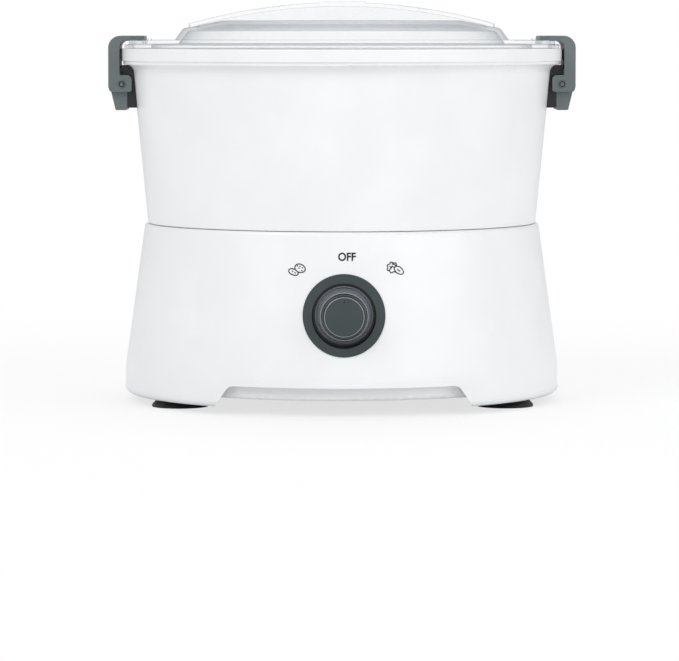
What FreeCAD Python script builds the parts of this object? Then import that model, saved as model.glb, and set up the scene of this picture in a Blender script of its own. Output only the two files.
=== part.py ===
"""Electric potato peeler: motor base, peeling bowl, clear lid and two side latches.

Millimetres. The origin is on the floor under the middle of the body, +Z is up and the knob faces -Y.
"""

import FreeCAD, Part
import math
import os

V = FreeCAD.Vector
AXIS_Z = V(0, 0, 1)
ORIGIN = V(0, 0, 0)

# Fits and clearances
BODY_GAP = 0.3
RUNNING = 0.05
SEAT_GAP = 0.04
SLIDING = 0.15
BEYOND = 20.0
THROUGH = 300.0
LAP = 1.0

# Base housing, a flared moulded shell
SKIRT_BOTTOM = 4.5
SKIRT_RADIUS = 125.8
SKIRT_CORNER = 4.0
KNEE_HEIGHT = 21.0
KNEE_ROUND = 30.0
POST_WEB = 2.4
DECK_HEIGHT = 102.7
HOUSING_FLARE = 11.4
DECK_RADIUS = SKIRT_RADIUS - HOUSING_FLARE
DECK_ROUND = 1.8
HOUSING_WALL = 2.6
DECK_WALL = 3.0
SKIRT_LIP = 6.4
SKIRT_LIP_RADIUS = SKIRT_RADIUS - SKIRT_LIP

# Notch in the skirt, front and rear, with the raised edge that follows it
NOTCH_HALF_BOTTOM = 72.0
NOTCH_HALF_TOP = 64.0
NOTCH_TOP = 16.9
NOTCH_ROUND = 5.0
EDGE_WIDTH = 2.8
EDGE_PROUD = 0.45

# Bottom tray
TRAY_GAP = 0.4
TRAY_RADIUS = SKIRT_LIP_RADIUS - TRAY_GAP
TRAY_BOTTOM = 9.2
TRAY_WALL = 2.2
TRAY_ROUND = 2.0
TRAY_RIM_HEIGHT = 24.0
TRAY_SCREW_INSET = 9.5
TRAY_SCREW_RADIUS = TRAY_RADIUS - TRAY_SCREW_INSET
VENT_COUNT = 9
VENT_PITCH = 7.0
VENT_WIDTH = 3.0
VENT_LENGTH = 44.0
VENT_ROUND = 1.4

# Suction feet
FOOT_INSET = 13.4
FOOT_ANGLE = 28.26
FOOT_X = (TRAY_RADIUS - FOOT_INSET) * math.cos(math.radians(FOOT_ANGLE))
FOOT_Y = (TRAY_RADIUS - FOOT_INSET) * math.sin(math.radians(FOOT_ANGLE))
FOOT_RADIUS = 16.0
FOOT_NECK_RADIUS = 10.5
FOOT_RIM = 1.2
FOOT_FLARE_TOP = 7.2
FOOT_DISH_RADIUS = 10.5
FOOT_DISH_DEPTH = 0.8
FOOT_STUD_RADIUS = 4.0
FOOT_STUD_HEAD_RADIUS = 5.4
FOOT_STUD_HEAD = 3.0
FOOT_STUD_TIP_RADIUS = 3.0
FOOT_SOLE_BEVEL = 1.0

# Screws
SCREW_RADIUS = 1.6
SCREW_HEAD_RADIUS = 3.2
SCREW_HEAD_HEIGHT = 2.2
SCREW_SLOT_LENGTH = 4.4
SCREW_SLOT_WIDTH = 0.8
SCREW_SLOT_DEPTH = 0.9
CASE_SCREW_LENGTH = 12.0

# Knob, its dished bezel and the rotary switch, all on one axis along Y
KNOB_HEIGHT = 56.9
BEZEL_RADIUS = 22.8
BEZEL_SINK = 10.9
BEZEL_FLOOR_Y = SKIRT_RADIUS - BEZEL_SINK
BEZEL_FLOOR_WALL = 2.0
BEZEL_PROUD = 0.5
DISH_FLOOR_RADIUS = 17.4
DISH_MOUTH_RADIUS = 18.4
DISH_DEPTH = 10.6
DISH_MOUTH_Y = BEZEL_FLOOR_Y + DISH_DEPTH
WELL_WALL = 2.2
WELL_FLOOR = 2.5
SWITCH_BUSH_RADIUS = 4.5
SWITCH_SHAFT_RADIUS = 3.0
SWITCH_SIZE = 28.0
SWITCH_DEPTH = 16.0
SWITCH_ROUND = 3.0
SWITCH_BORE_END = 4.0
TERMINAL_PITCH = 8.0
TERMINAL_WIDTH = 4.8
TERMINAL_THICKNESS = 0.8
TERMINAL_LENGTH = 7.0
SWITCH_BUSH_PAST_NUT = 0.4
NUT_THICKNESS = 2.4
NUT_RADIUS = 7.4
KNOB_FACETS = 24
KNOB_GAP = 0.5
KNOB_SKIRT_RADIUS = 16.35
KNOB_SKIRT_DEPTH = 2.4
KNOB_GRIP_RADIUS = 15.4
KNOB_GRIP_TOP_RADIUS = 13.7
KNOB_GRIP_END = 13.6
KNOB_RING_RADIUS = 12.4
KNOB_RING_END = 15.6
KNOB_FACE_RADIUS = 10.6
KNOB_LENGTH = 18.2
KNOB_CAP_THICKNESS = 1.2
KNOB_SHAFT_COVER = 2.0
KNOB_CAVITY_RADIUS = 12.0
KNOB_CAVITY_DEPTH = 9.0
KNOB_BOSS_RADIUS = 6.0
KNOB_DOT_RADIUS = 0.55
KNOB_DOT_OFFSET = 8.4
KNOB_DOT_DEPTH = 0.5

# Cable gland and cord clamp at the rear
GLAND_HEIGHT = 31.0
GLAND_BORE_RADIUS = 3.7
GLAND_BODY_RADIUS = 6.5
GLAND_FLANGE_RADIUS = 9.5
GLAND_PROUD = 5.4
GLAND_LENGTH = 14.7
GLAND_OUTER_Y = SKIRT_RADIUS + GLAND_PROUD
GLAND_INNER_Y = GLAND_OUTER_Y - GLAND_LENGTH
CLAMP_HALF_WIDTH = 12.0
CLAMP_SET_IN = 27.8
CLAMP_Y = SKIRT_RADIUS - CLAMP_SET_IN
CLAMP_DEPTH = 9.0
CLAMP_THICKNESS = 6.0
CLAMP_SCREW_X = 8.4
CLAMP_SCREW_DEPTH = 8.0
GLAND_FLANGE = 2.6
GLAND_NOSE_TAPER = 1.8
GLAND_NOSE_PROUD = 1.2

# Bowl, a tapering drum with a rim band and a floor with a raised hub
BOWL_BOTTOM = DECK_HEIGHT + BODY_GAP
BOWL_FOOT_INSET = 1.7
BOWL_BOTTOM_RADIUS = DECK_RADIUS - BOWL_FOOT_INSET
BOWL_TAPER = 5.45
BOWL_WALL = 3.0
BOWL_FLOOR_LIFT = 5.0
BOWL_FLOOR_BOTTOM = BOWL_BOTTOM + BOWL_FLOOR_LIFT
BOWL_FLOOR_WALL = 3.0
BOWL_FOOT_WALL = 3.5
BOWL_FILLET = 6.0
HUB_FILLET = 2.0
BOWL_EDGE = 0.6
GROOVE_EDGE = 0.5
BOWL_HEIGHT = 100.8
BOWL_TOP = BOWL_BOTTOM + BOWL_HEIGHT
RIM_BAND = 7.2
RIM_STEP = BOWL_TOP - RIM_BAND
RIM_STEP_HEIGHT = 2.0
RIM_UNDERSIDE = RIM_STEP - RIM_STEP_HEIGHT
RIM_SPREAD = 15.1
RIM_RADIUS = BOWL_BOTTOM_RADIUS + RIM_SPREAD
RIM_STEP_INSET = 1.1
RIM_STEP_RADIUS = RIM_RADIUS - RIM_STEP_INSET
COVE_RADIUS = 4.6
RIM_LAND = 3.1
GROOVE_OUTER_RADIUS = RIM_RADIUS - RIM_LAND
MOUTH_DEPTH = 10.0
GROOVE_WIDTH = 2.9
GROOVE_INNER_RADIUS = GROOVE_OUTER_RADIUS - GROOVE_WIDTH
MOUTH_LAND = 3.4
MOUTH_RADIUS = GROOVE_INNER_RADIUS - MOUTH_LAND
GROOVE_DEPTH = 4.4
WALL_RIB_COUNT = 16
WALL_RIB_RADIUS = 2.4
WALL_RIB_INSET = 0.8
WALL_RIB_LIFT = 10.0
WALL_RIB_BOTTOM = BOWL_FLOOR_BOTTOM + WALL_RIB_LIFT
WALL_RIB_DROP = 17.8
WALL_RIB_TOP = BOWL_TOP - WALL_RIB_DROP

# Seat of the bowl on the base
SEAT_RING_WALL = 2.0
SEAT_RING_HEIGHT = 2.8
PEG_COUNT = 3
PEG_RADIUS = 4.0
PEG_INSET = 20.4
PEG_CIRCLE = DECK_RADIUS - PEG_INSET
PEG_HEIGHT = 3.8
PEG_SOCKET_WALL = 2.2
PEG_SOCKET_LIFT = 0.5

# Hub of the bowl with the spindle's bush and seal
HUB_RADIUS = 19.0
HUB_SPREAD = 3.0
HUB_FOOT_RADIUS = HUB_RADIUS + HUB_SPREAD
HUB_WALL = 3.0
HUB_HEIGHT = 17.0
HUB_TOP = BOWL_FLOOR_BOTTOM + HUB_HEIGHT
SPINDLE_RADIUS = 5.0
BUSH_WALL = 2.0
BUSH_RADIUS = SPINDLE_RADIUS + BUSH_WALL
HUB_TUBE_WALL = 2.6
HUB_TUBE_RADIUS = BUSH_RADIUS + HUB_TUBE_WALL
HUB_TUBE_HEIGHT = 8.0
HUB_TUBE_TOP = HUB_TOP + HUB_TUBE_HEIGHT
BUSH_FLANGE_RADIUS = 10.0
BUSH_FLANGE = 2.2
SPINDLE_SEAL_HEIGHT = 4.5
SPINDLE_CLIP_RADIUS = 8.2
SPINDLE_CLIP_THICKNESS = 1.0

# Coupling between the base and the bowl
DOG_FLATS = 15.0
DOG_CLEARANCE = 0.3
DOG_LIFT = 1.5
DOG_BOTTOM = DECK_HEIGHT + DOG_LIFT
DOG_HEIGHT = 10.8
DOG_TOP = DOG_BOTTOM + DOG_HEIGHT
DOG_LEAD = 2.5
SOCKET_RADIUS = 13.4
SOCKET_LIFT = 0.3
SOCKET_BOTTOM = DOG_BOTTOM + SOCKET_LIFT
SOCKET_ROOM = 1.2
DISC_DRIVE_FLATS = 8.0
DISC_DRIVE_HEIGHT = 7.0

# Peeling disc
DISC_WALL_GAP = 8.7
DISC_RADIUS = BOWL_BOTTOM_RADIUS - DISC_WALL_GAP
DISC_LIFT = 3.2
DISC_BOTTOM = BOWL_FLOOR_BOTTOM + BOWL_FLOOR_WALL + DISC_LIFT
DISC_WALL = 2.6
DISC_RIM_SPREAD = 2.0
DISC_RIM_RADIUS = DISC_RADIUS + DISC_RIM_SPREAD
DISC_RIM_HEIGHT = 7.3
DISC_RIM_TOP = DISC_BOTTOM + DISC_RIM_HEIGHT
DISC_HUB_CLEARANCE = 2.4
DISC_HUB_WALL = 2.6
DISC_BOSS_RADIUS = 9.0
DISC_BOSS_WALL = 2.5
DISC_BEND = 3.0
DISC_EDGE = 0.6
GRIT_HUB_GAP = 10.0
GRIT_INNER_RADIUS = HUB_FOOT_RADIUS + GRIT_HUB_GAP
GRIT_EDGE_GAP = 5.0
GRIT_OUTER_RADIUS = DISC_RADIUS - GRIT_EDGE_GAP
GRIT_THICKNESS = 0.8
WAVE_COUNT = 3
WAVE_WIDTH = 22.0
WAVE_HEIGHT = 4.6
WAVE_ROUND = 4.0
WAVE_TURN = 30.0
DISC_KNOB_RADIUS = 12.0
DISC_KNOB_FOOT_RADIUS = 10.5
DISC_KNOB_FOOT_GAP = 1.6
DISC_KNOB_ABOVE_BOSS = 5.0
DISC_KNOB_ROUND = 2.0

# Lid
LID_INSET = 1.0
LID_RADIUS = RIM_RADIUS - LID_INSET
LID_BOTTOM = BOWL_TOP + BODY_GAP
LID_FLANGE = 2.2
LID_FLANGE_TOP = LID_BOTTOM + LID_FLANGE
LID_STEP_INSET = 2.5
LID_STEP_RADIUS = LID_RADIUS - LID_STEP_INSET
LID_THICKNESS = 4.6
LID_TOP = LID_BOTTOM + LID_THICKNESS
LID_WALL = 2.2
PLATEAU_INSET = 29.8
PLATEAU_FOOT_RADIUS = LID_RADIUS - PLATEAU_INSET
PLATEAU_SLOPE = 5.2
PLATEAU_RADIUS = PLATEAU_FOOT_RADIUS - PLATEAU_SLOPE
PLATEAU_RISE = 7.3
PLATEAU_HEIGHT = LID_TOP + PLATEAU_RISE
DOME_INSET = 21.8
DOME_RADIUS = PLATEAU_RADIUS - DOME_INSET
DOME_RISE = 4.0
DOME_HEIGHT = PLATEAU_HEIGHT + DOME_RISE
DOME_ROUND = 12.0
PLATEAU_EDGE = 2.2
PLATEAU_FOOT_ROUND = 1.2
PLATEAU_SHOULDER = 4.0
LID_EDGE = 0.6
TONGUE_CLEARANCE = 0.4
PLUG_GAP = 0.5
PLUG_RADIUS = MOUTH_RADIUS - PLUG_GAP
PLUG_WALL = 2.3
PLUG_DEPTH = 7.0
PLUG_LEDGE = 5.0
GASKET_RADIUS = MOUTH_RADIUS - BODY_GAP
GASKET_WIDTH = 1.2
GASKET_HEIGHT = 3.0
GASKET_LOW = 2.0

# Handle arch moulded on the lid
ARCH_RISE = 10.5
ARCH_TOP = DOME_HEIGHT + ARCH_RISE
ARCH_RADIUS = 326.0
ARCH_HALF_WIDTH = 11.0
ARCH_ROUND = 3.0
ARCH_WALL = 2.2
ARCH_INSET = 3.0
ARCH_HOLLOW_INSET = 8.0
ARCH_BUMP_HALF = 13.5
ARCH_BUMP_HEIGHT = 0.7
ARCH_BUMP_INSET = 2.0
ARCH_BUMP_ROUND = 0.4
GRIP_COUNT = 5
GRIP_PITCH = 5.2
GRIP_WIDTH = 3.8
GRIP_DROP = 2.2
GRIP_TOP = ARCH_TOP - GRIP_DROP
GRIP_HEIGHT = 5.7
GRIP_BOTTOM = GRIP_TOP - GRIP_HEIGHT
GRIP_PROUD = 0.8
GRIP_ROUND = 1.7

# Latches: clip, pin, bracket and pad on each side of the bowl
PIVOT_INSET = 0.7
PIVOT_X = RIM_RADIUS - PIVOT_INSET
PIVOT_DROP = 20.5
PIVOT_Z = BOWL_TOP - PIVOT_DROP
PIN_RADIUS = 2.05
PIN_PAST_CHEEK = 0.7
PIN_RECESS_RADIUS = 1.3
PIN_RECESS_DEPTH = 0.8
CLIP_HALF_WIDTH = 18.0
CHEEK_WIDTH = 3.5
CLIP_REACH = 7.7
CLIP_OUTER_X = PIVOT_X + CLIP_REACH
CLIP_THICKNESS = 6.5
CLIP_INNER_X = CLIP_OUTER_X - CLIP_THICKNESS
HOOK_LENGTH = 20.9
HOOK_END_X = CLIP_OUTER_X - HOOK_LENGTH
HOOK_OVERLAP = 0.5
HOOK_BOTTOM = LID_TOP - HOOK_OVERLAP
HOOK_THICKNESS = 3.0
HOOK_TOP = HOOK_BOTTOM + HOOK_THICKNESS
HOOK_EDGE = 0.6
CLIP_OUTER_ROUND = 7.0
CLIP_INNER_ROUND = 3.8
CHEEK_RISE = 5.2
CHEEK_TOP = PIVOT_Z + CHEEK_RISE
CHEEK_DROP = 4.4
CHEEK_BOTTOM = PIVOT_Z - CHEEK_DROP
CHEEK_INSET = 5.7
CHEEK_INNER_X = PIVOT_X - CHEEK_INSET
CHEEK_REACH = 6.9
CHEEK_ROUND = 2.6
CHEEK_FOOT_ROUND = 1.6
CHEEK_FOOT_INSET = 0.8
CHEEK_FOOT_RISE = 3.0
CHANNEL_RISE = 8.7
CHANNEL_TOP = PIVOT_Z + CHANNEL_RISE
BRACKET_INSET = 3.0
BRACKET_BACK_X = PIVOT_X - BRACKET_INSET
BRACKET_RISE = 4.3
BRACKET_TOP = PIVOT_Z + BRACKET_RISE
BRACKET_REACH = 4.5
BRACKET_TOP_X = PIVOT_X + BRACKET_REACH
BRACKET_ROUND = 3.6
BRACKET_EDGE = 0.8
TAIL_DROP = 4.5
TAIL_TOP = PIVOT_Z - TAIL_DROP
TAIL_REACH = 6.2
TAIL_TOP_X = PIVOT_X + TAIL_REACH
TAIL_LENGTH = 10.5
TAIL_BOTTOM = TAIL_TOP - TAIL_LENGTH
TAIL_TAPER = 2.5
TAIL_BOTTOM_X = TAIL_TOP_X - TAIL_TAPER
PAD_TOP_GAP = 0.4
PAD_TOP = RIM_UNDERSIDE - PAD_TOP_GAP
PAD_LIFT = 1.4
PAD_BOTTOM = TAIL_BOTTOM + PAD_LIFT
PAD_NOSE = 0.8
PAD_NOSE_X = PIVOT_X + PAD_NOSE
PAD_SIDE_GAP = 0.3
PAD_EDGE = 0.6
BRACKET_SCREW_Y = 8.0
BRACKET_SCREW_DROP = 9.9
BRACKET_SCREW_Z = PIVOT_Z - BRACKET_SCREW_DROP
BRACKET_SCREW_SEAT = 1.9
BRACKET_SCREW_HEAD_X = PIVOT_X + BRACKET_SCREW_SEAT
BRACKET_SCREW_DEPTH = 1.6
BRACKET_SCREW_HEAD = 1.2

# Room for the latches in the lid's edge
LATCH_NOTCH_X = CHEEK_INNER_X - BODY_GAP
LATCH_NOTCH_SIDE = 1.0
LATCH_SHELF_GAP = 0.5
LATCH_SHELF_X = HOOK_END_X - LATCH_SHELF_GAP
LATCH_SHELF_DEPTH = 2.2
LATCH_SHELF_TOP = LID_TOP - LATCH_SHELF_DEPTH
LATCH_BEAD_WIDTH = 1.6
LATCH_BEAD_INSET = 2.0
STOP_NIB_GAP = 2.8
STOP_NIB_X = LATCH_SHELF_X - STOP_NIB_GAP
STOP_NIB_WIDTH = 2.0
STOP_NIB_HEIGHT = 0.9
STOP_NIB_HALF = 9.0

# Gear train: motor pinion, compound idler and output gear
FIRST_MODULE = 1.0
PINION_TEETH = 14
WHEEL_TEETH = 42
SECOND_MODULE = 1.25
SMALL_TEETH = 15
OUTPUT_TEETH = 45
PRESSURE_ANGLE = 20.0
ADDENDUM = 0.9
DEDENDUM = 1.25
BACKLASH = 0.16
MESH_GAP = 0.05
MOTOR_Y = 56.0
PLATE_DROP = 30.7
PLATE_BOTTOM = DECK_HEIGHT - PLATE_DROP
FIRST_GEAR_LIFT = 6.0
FIRST_GEAR_BOTTOM = PLATE_BOTTOM + FIRST_GEAR_LIFT
FIRST_GEAR_WIDTH = 6.0
FIRST_GEAR_TOP = FIRST_GEAR_BOTTOM + FIRST_GEAR_WIDTH
SECOND_GEAR_LIFT = 2.0
SECOND_GEAR_BOTTOM = FIRST_GEAR_TOP + SECOND_GEAR_LIFT
SECOND_GEAR_WIDTH = 8.0
SECOND_GEAR_TOP = SECOND_GEAR_BOTTOM + SECOND_GEAR_WIDTH
IDLER_AXLE_RADIUS = 3.0
OUTPUT_SHAFT_RADIUS = 5.0
OUTPUT_GEAR_HUB = 10.0
OUTPUT_GEAR_RIM = 23.0
OUTPUT_GEAR_WEB = 12.5
OUTPUT_RECESS = 3.5
IDLER_HUB = 6.5
IDLER_RIM = 15.5
IDLER_WEB = 11.5
IDLER_RECESS = 2.5
PINION_OVERHANG = 0.5
FLANK_STEPS = 3

# Gear plate, gear cover and the posts that carry them
PLATE_WALL = 3.0
PLATE_HALF_WIDTH = 52.0
PLATE_FRONT_Y = -40.0
PLATE_REAR_Y = 90.0
PLATE_ROUND = 10.0
POST_RADIUS = 4.6
POST_X = 44.0
POST_FRONT_Y = -30.0
POST_REAR_Y = 80.0
COVER_WALL = 2.0
COVER_CLEARANCE = 1.4
COVER_DROP = 4.0
COVER_TOP = DECK_HEIGHT - COVER_DROP
OUTPUT_BUSH_RADIUS = 9.0
LOWER_BUSH_HEIGHT = 8.0
UPPER_BUSH_HEIGHT = 3.6
BUSH_BOSS_WALL = 2.2
SHAFT_SEAL_RADIUS = 9.0
DECK_COLLAR_RADIUS = 12.5
DECK_COLLAR_HEIGHT = 1.0
OUTPUT_CLIP_RADIUS = 8.0
OUTPUT_CLIP_THICKNESS = 1.0
CLIP_GROOVE = 0.5
DOG_CAP = 2.0
OUTPUT_SHAFT_TOP = DOG_TOP - DOG_CAP

# Motor, hung under the gear plate
MOTOR_RADIUS = 29.0
MOTOR_WALL = 2.0
MOTOR_LIFT = 12.6
MOTOR_BOTTOM = TRAY_BOTTOM + TRAY_WALL + MOTOR_LIFT
MOTOR_BOSS_RADIUS = 8.5
MOTOR_BOSS_HEIGHT = 2.4
MOTOR_END_CAP = 3.0
MOTOR_CAP_BOSS = 2.0
MOTOR_BUSH_RADIUS = 5.5
MOTOR_SHAFT_RADIUS = 2.5
MAGNET_THICKNESS = 2.6
MAGNET_HALF_ANGLE = 66.0
MAGNET_LIFT = 12.0
MAGNET_BOTTOM = MOTOR_BOTTOM + MAGNET_LIFT
FAN_ROOM = 10.5
MAGNET_TOP = PLATE_BOTTOM - FAN_ROOM
AIR_GAP = 0.8
ROTOR_SLOTS = 8
ROTOR_SLOT_WIDTH = 3.0
ROTOR_SLOT_DEPTH = 9.0
WINDING_RADIUS = 18.5
WINDING_HEIGHT = 3.4
WINDING_BORE = 5.0
FAN_HUB = 5.5
FAN_BLADE = 1.2
FAN_DISC = 1.0
COMMUTATOR_RADIUS = 7.0
COMMUTATOR_HEIGHT = 5.0
BRUSH_LENGTH = 7.0
BRUSH_WIDTH = 5.0
BRUSH_HEIGHT = 4.5
FAN_RADIUS = 24.0
FAN_BLADES = 10
FAN_HEIGHT = 4.0
MOTOR_SCREW_CIRCLE = 20.0
MOTOR_SCREW_ANGLES = (0.0, 90.0)
MOTOR_SCREW_DEPTH = 1.8

# Interlock that lets the motor run only with the bowl on
INTERLOCK_INSET = 22.4
INTERLOCK_CIRCLE = DECK_RADIUS - INTERLOCK_INSET
INTERLOCK_ANGLE = 150.0
INTERLOCK_RADIUS = 3.0
MICRO_DROP = 20.7
MICRO_TOP = DECK_HEIGHT - MICRO_DROP
INTERLOCK_REST = 0.6
INTERLOCK_BOTTOM = MICRO_TOP + INTERLOCK_REST
INTERLOCK_TIP = 1.0
INTERLOCK_COLLAR_RADIUS = 5.0
GUIDE_LENGTH = 5.7
GUIDE_BOTTOM = DECK_HEIGHT - GUIDE_LENGTH
INTERLOCK_STROKE = 3.8
INTERLOCK_COLLAR_TOP = GUIDE_BOTTOM - INTERLOCK_STROKE
INTERLOCK_COLLAR = 2.2
INTERLOCK_COLLAR_BOTTOM = INTERLOCK_COLLAR_TOP - INTERLOCK_COLLAR
GUIDE_WALL = 2.0
SPRING_INNER_RADIUS = 3.5
SPRING_OUTER_RADIUS = 4.7
MICRO_LENGTH = 28.0
MICRO_WIDTH = 12.0
MICRO_HEIGHT = 12.0
MICRO_POST_RADIUS = 2.6
MICRO_POST_SPAN = 22.0
MICRO_TERMINAL_PITCH = 9.0
MICRO_TERMINAL_WIDTH = 4.0
MICRO_TERMINAL_LENGTH = 6.0

# Control board on the tray
BOARD_INSET = 51.0
BOARD_X = BOARD_INSET - TRAY_RADIUS
BOARD_Y = -6.0
BOARD_WIDTH = 52.0
BOARD_DEPTH = 60.0
BOARD_THICKNESS = 1.6
BOARD_POST_HEIGHT = 8.0
BOARD_POST_RADIUS = 3.4
BOARD_POST_INSET = 5.0
CAPACITOR_RADIUS = 8.0
CAPACITOR_HEIGHT = 22.0
CAPACITOR_LEFT = 10.0
CAPACITOR_BEHIND = 12.0
RELAY_SIZE = 15.0
RELAY_RIGHT = 4.0
TERMINALS_WIDTH = 24.0
TERMINALS_DEPTH = 10.0
TERMINALS_HEIGHT = 9.0
TERMINALS_LEFT = 12.0
TERMINALS_FRONT = 22.0
BOARD_SCREW_END = 1.0


def rounded_wire(corners, place):
    """Closed wire through corners (a, b, radius), each with a tangent arc of its radius."""
    ends = []
    count = len(corners)
    for i, (a, b, radius) in enumerate(corners):
        corner = V(a, b, 0)
        before = V(*corners[i - 1][:2], 0).sub(corner).normalize()
        after = V(*corners[(i + 1) % count][:2], 0).sub(corner).normalize()
        if radius <= 0:
            ends.append((corner, None, corner))
            continue
        half = before.getAngle(after) / 2
        reach = radius / math.tan(half)
        bisector = before.add(after).normalize()
        middle = corner.add(bisector.multiply(radius / math.sin(half) - radius))
        ends.append((corner.add(before.multiply(reach)), middle, corner.add(after.multiply(reach))))
    edges = []
    for i, (start, middle, end) in enumerate(ends):
        if middle is not None:
            edges.append(Part.Arc(place(start), place(middle), place(end)).toShape())
        following = ends[(i + 1) % count][0]
        if following.distanceToPoint(end) > 1e-6:
            edges.append(Part.LineSegment(place(end), place(following)).toShape())
    return Part.Wire(edges)


def turned(corners):
    """Solid turned round the Z axis from a half section of (radius, height, rounding) corners."""
    face = Part.Face(rounded_wire(corners, lambda p: V(p.x, 0, p.y)))
    return face.revolve(ORIGIN, AXIS_Z, 360)


def side_prism(corners, y0, y1):
    """Solid with a section of (x, z, rounding) corners, drawn out along Y."""
    face = Part.Face(rounded_wire(corners, lambda p: V(p.x, y0, p.y)))
    return face.extrude(V(0, y1 - y0, 0))


def plan_prism(corners, z0, z1):
    """Solid with a plan of (x, y, rounding) corners, drawn out along Z."""
    face = Part.Face(rounded_wire(corners, lambda p: V(p.x, p.y, z0)))
    return face.extrude(V(0, 0, z1 - z0))


def rod(radius, z0, z1, x=0.0, y=0.0):
    """Upright round rod."""
    return Part.makeCylinder(radius, z1 - z0, V(x, y, z0))


def ring(outer, inner, z0, z1, x=0.0, y=0.0):
    """Upright round tube."""
    return rod(outer, z0, z1, x, y).cut(rod(inner, z0 - LAP, z1 + LAP, x, y))


def bore(radius, x=0.0, y=0.0):
    """Upright rod through everything, for a hole."""
    return rod(radius, -THROUGH, THROUGH, x, y)


def rod_y(radius, y0, y1, x, z):
    """Round rod along Y."""
    return Part.makeCylinder(radius, y1 - y0, V(x, y0, z), V(0, 1, 0))


def bore_y(radius, x, z):
    """Rod along Y through everything, for a hole."""
    return rod_y(radius, -THROUGH, THROUGH, x, z)


def rod_x(radius, x0, x1, y, z):
    """Round rod along X."""
    return Part.makeCylinder(radius, x1 - x0, V(x0, y, z), V(1, 0, 0))


def block(x0, x1, y0, y1, z0, z1):
    """Rectangular block between two corners."""
    return Part.makeBox(x1 - x0, y1 - y0, z1 - z0, V(x0, y0, z0))


def polygon_wire(sides, radius, place, turn=0.0):
    """Regular polygon with its corners on a circle; place maps its plane into space."""
    angles = [math.radians(turn) + 2 * math.pi * i / sides for i in range(sides + 1)]
    return Part.makePolygon([place(radius * math.cos(a), radius * math.sin(a)) for a in angles])


def polygon_prism(sides, flats, z0, z1):
    """Upright prism measured across its flats."""
    radius = flats / 2 / math.cos(math.pi / sides)
    wire = polygon_wire(sides, radius, lambda a, b: V(a, b, z0))
    return Part.Face(wire).extrude(V(0, 0, z1 - z0))


def fused(shapes):
    """One solid from overlapping shapes, without the seams between them."""
    return shapes[0].multiFuse(shapes[1:]).removeSplitter()


def mirrored_x(shape):
    """Copy on the other side of the YZ plane."""
    return shape.mirror(ORIGIN, V(1, 0, 0))


def corners_of(x, y):
    """The four points at plus and minus x and y."""
    return [(sx * x, sy * y) for sx in (-1, 1) for sy in (-1, 1)]


def on_circle(radius, angle):
    """Point in plan at an angle in degrees."""
    return radius * math.cos(math.radians(angle)), radius * math.sin(math.radians(angle))


def screw_up(x, y, head_bottom, length):
    """Pan head screw driven upwards."""
    shank_bottom = head_bottom + SCREW_HEAD_HEIGHT
    head = rod(SCREW_HEAD_RADIUS, head_bottom, shank_bottom, x, y)
    half = SCREW_SLOT_WIDTH / 2
    reach = SCREW_SLOT_LENGTH / 2
    slot = block(x - reach, x + reach, y - half, y + half, head_bottom - LAP, head_bottom + SCREW_SLOT_DEPTH)
    return head.cut(slot).fuse(rod(SCREW_RADIUS, shank_bottom, shank_bottom + length, x, y))


def screw_down(x, y, head_top, length):
    """Pan head screw driven downwards."""
    turned_over = screw_up(x, y, -head_top, length)
    turned_over.rotate(V(x, y, 0), V(1, 0, 0), 180)
    return turned_over


def housing_envelope(offset, skirt_bottom=SKIRT_BOTTOM):
    """Outside of the base housing, grown outwards by an offset."""
    return turned([
        (0, skirt_bottom, 0),
        (SKIRT_RADIUS + offset, skirt_bottom, SKIRT_CORNER),
        (SKIRT_RADIUS + offset, KNEE_HEIGHT, KNEE_ROUND),
        (DECK_RADIUS + offset, DECK_HEIGHT + offset, DECK_ROUND),
        (0, DECK_HEIGHT + offset, 0),
    ])


def notch_prisms(grow):
    """The notch shape, front and rear, grown by an edge width."""
    corners = [
        (-NOTCH_HALF_BOTTOM - grow, SKIRT_BOTTOM - BEYOND, 0),
        (-NOTCH_HALF_BOTTOM - grow, SKIRT_BOTTOM + LAP, 0),
        (-NOTCH_HALF_TOP - grow, NOTCH_TOP + grow, NOTCH_ROUND + grow),
        (NOTCH_HALF_TOP + grow, NOTCH_TOP + grow, NOTCH_ROUND + grow),
        (NOTCH_HALF_BOTTOM + grow, SKIRT_BOTTOM + LAP, 0),
        (NOTCH_HALF_BOTTOM + grow, SKIRT_BOTTOM - BEYOND, 0),
    ]
    inside = SKIRT_RADIUS / math.sqrt(2)
    outside = SKIRT_RADIUS + BEYOND
    return [side_prism(corners, -outside, -inside), side_prism(corners, inside, outside)]


def deck_posts():
    """Where the four posts under the deck carry the gear plate."""
    return [(sx * POST_X, y) for sx in (-1, 1) for y in (POST_FRONT_Y, POST_REAR_Y)]


def tray_posts():
    """Where the four posts for the tray's screws stand."""
    side = TRAY_SCREW_RADIUS * math.sqrt(0.5)
    return corners_of(side, side)


def idler_place():
    """Idler axis, from the two centre distances."""
    first = FIRST_MODULE * (PINION_TEETH + WHEEL_TEETH) / 2 + MESH_GAP
    second = SECOND_MODULE * (SMALL_TEETH + OUTPUT_TEETH) / 2 + MESH_GAP
    y = (MOTOR_Y**2 + second**2 - first**2) / (2 * MOTOR_Y)
    return -math.sqrt(second**2 - y**2), y


def peg_places():
    """Where the pegs on the deck key the bowl."""
    return [on_circle(PEG_CIRCLE, 90 + 360 * i / PEG_COUNT) for i in range(PEG_COUNT)]


def raised_edge():
    """Raised band along the lower edge of the skirt and round its notches."""
    low = rod(SKIRT_RADIUS + BEYOND, SKIRT_BOTTOM - LAP, SKIRT_BOTTOM + EDGE_WIDTH + LAP)
    region = low.multiFuse(notch_prisms(EDGE_WIDTH))
    skin = housing_envelope(EDGE_PROUD).cut(rod(SKIRT_LIP_RADIUS, 0, DECK_HEIGHT + BEYOND))
    return skin.common(region)


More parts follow.
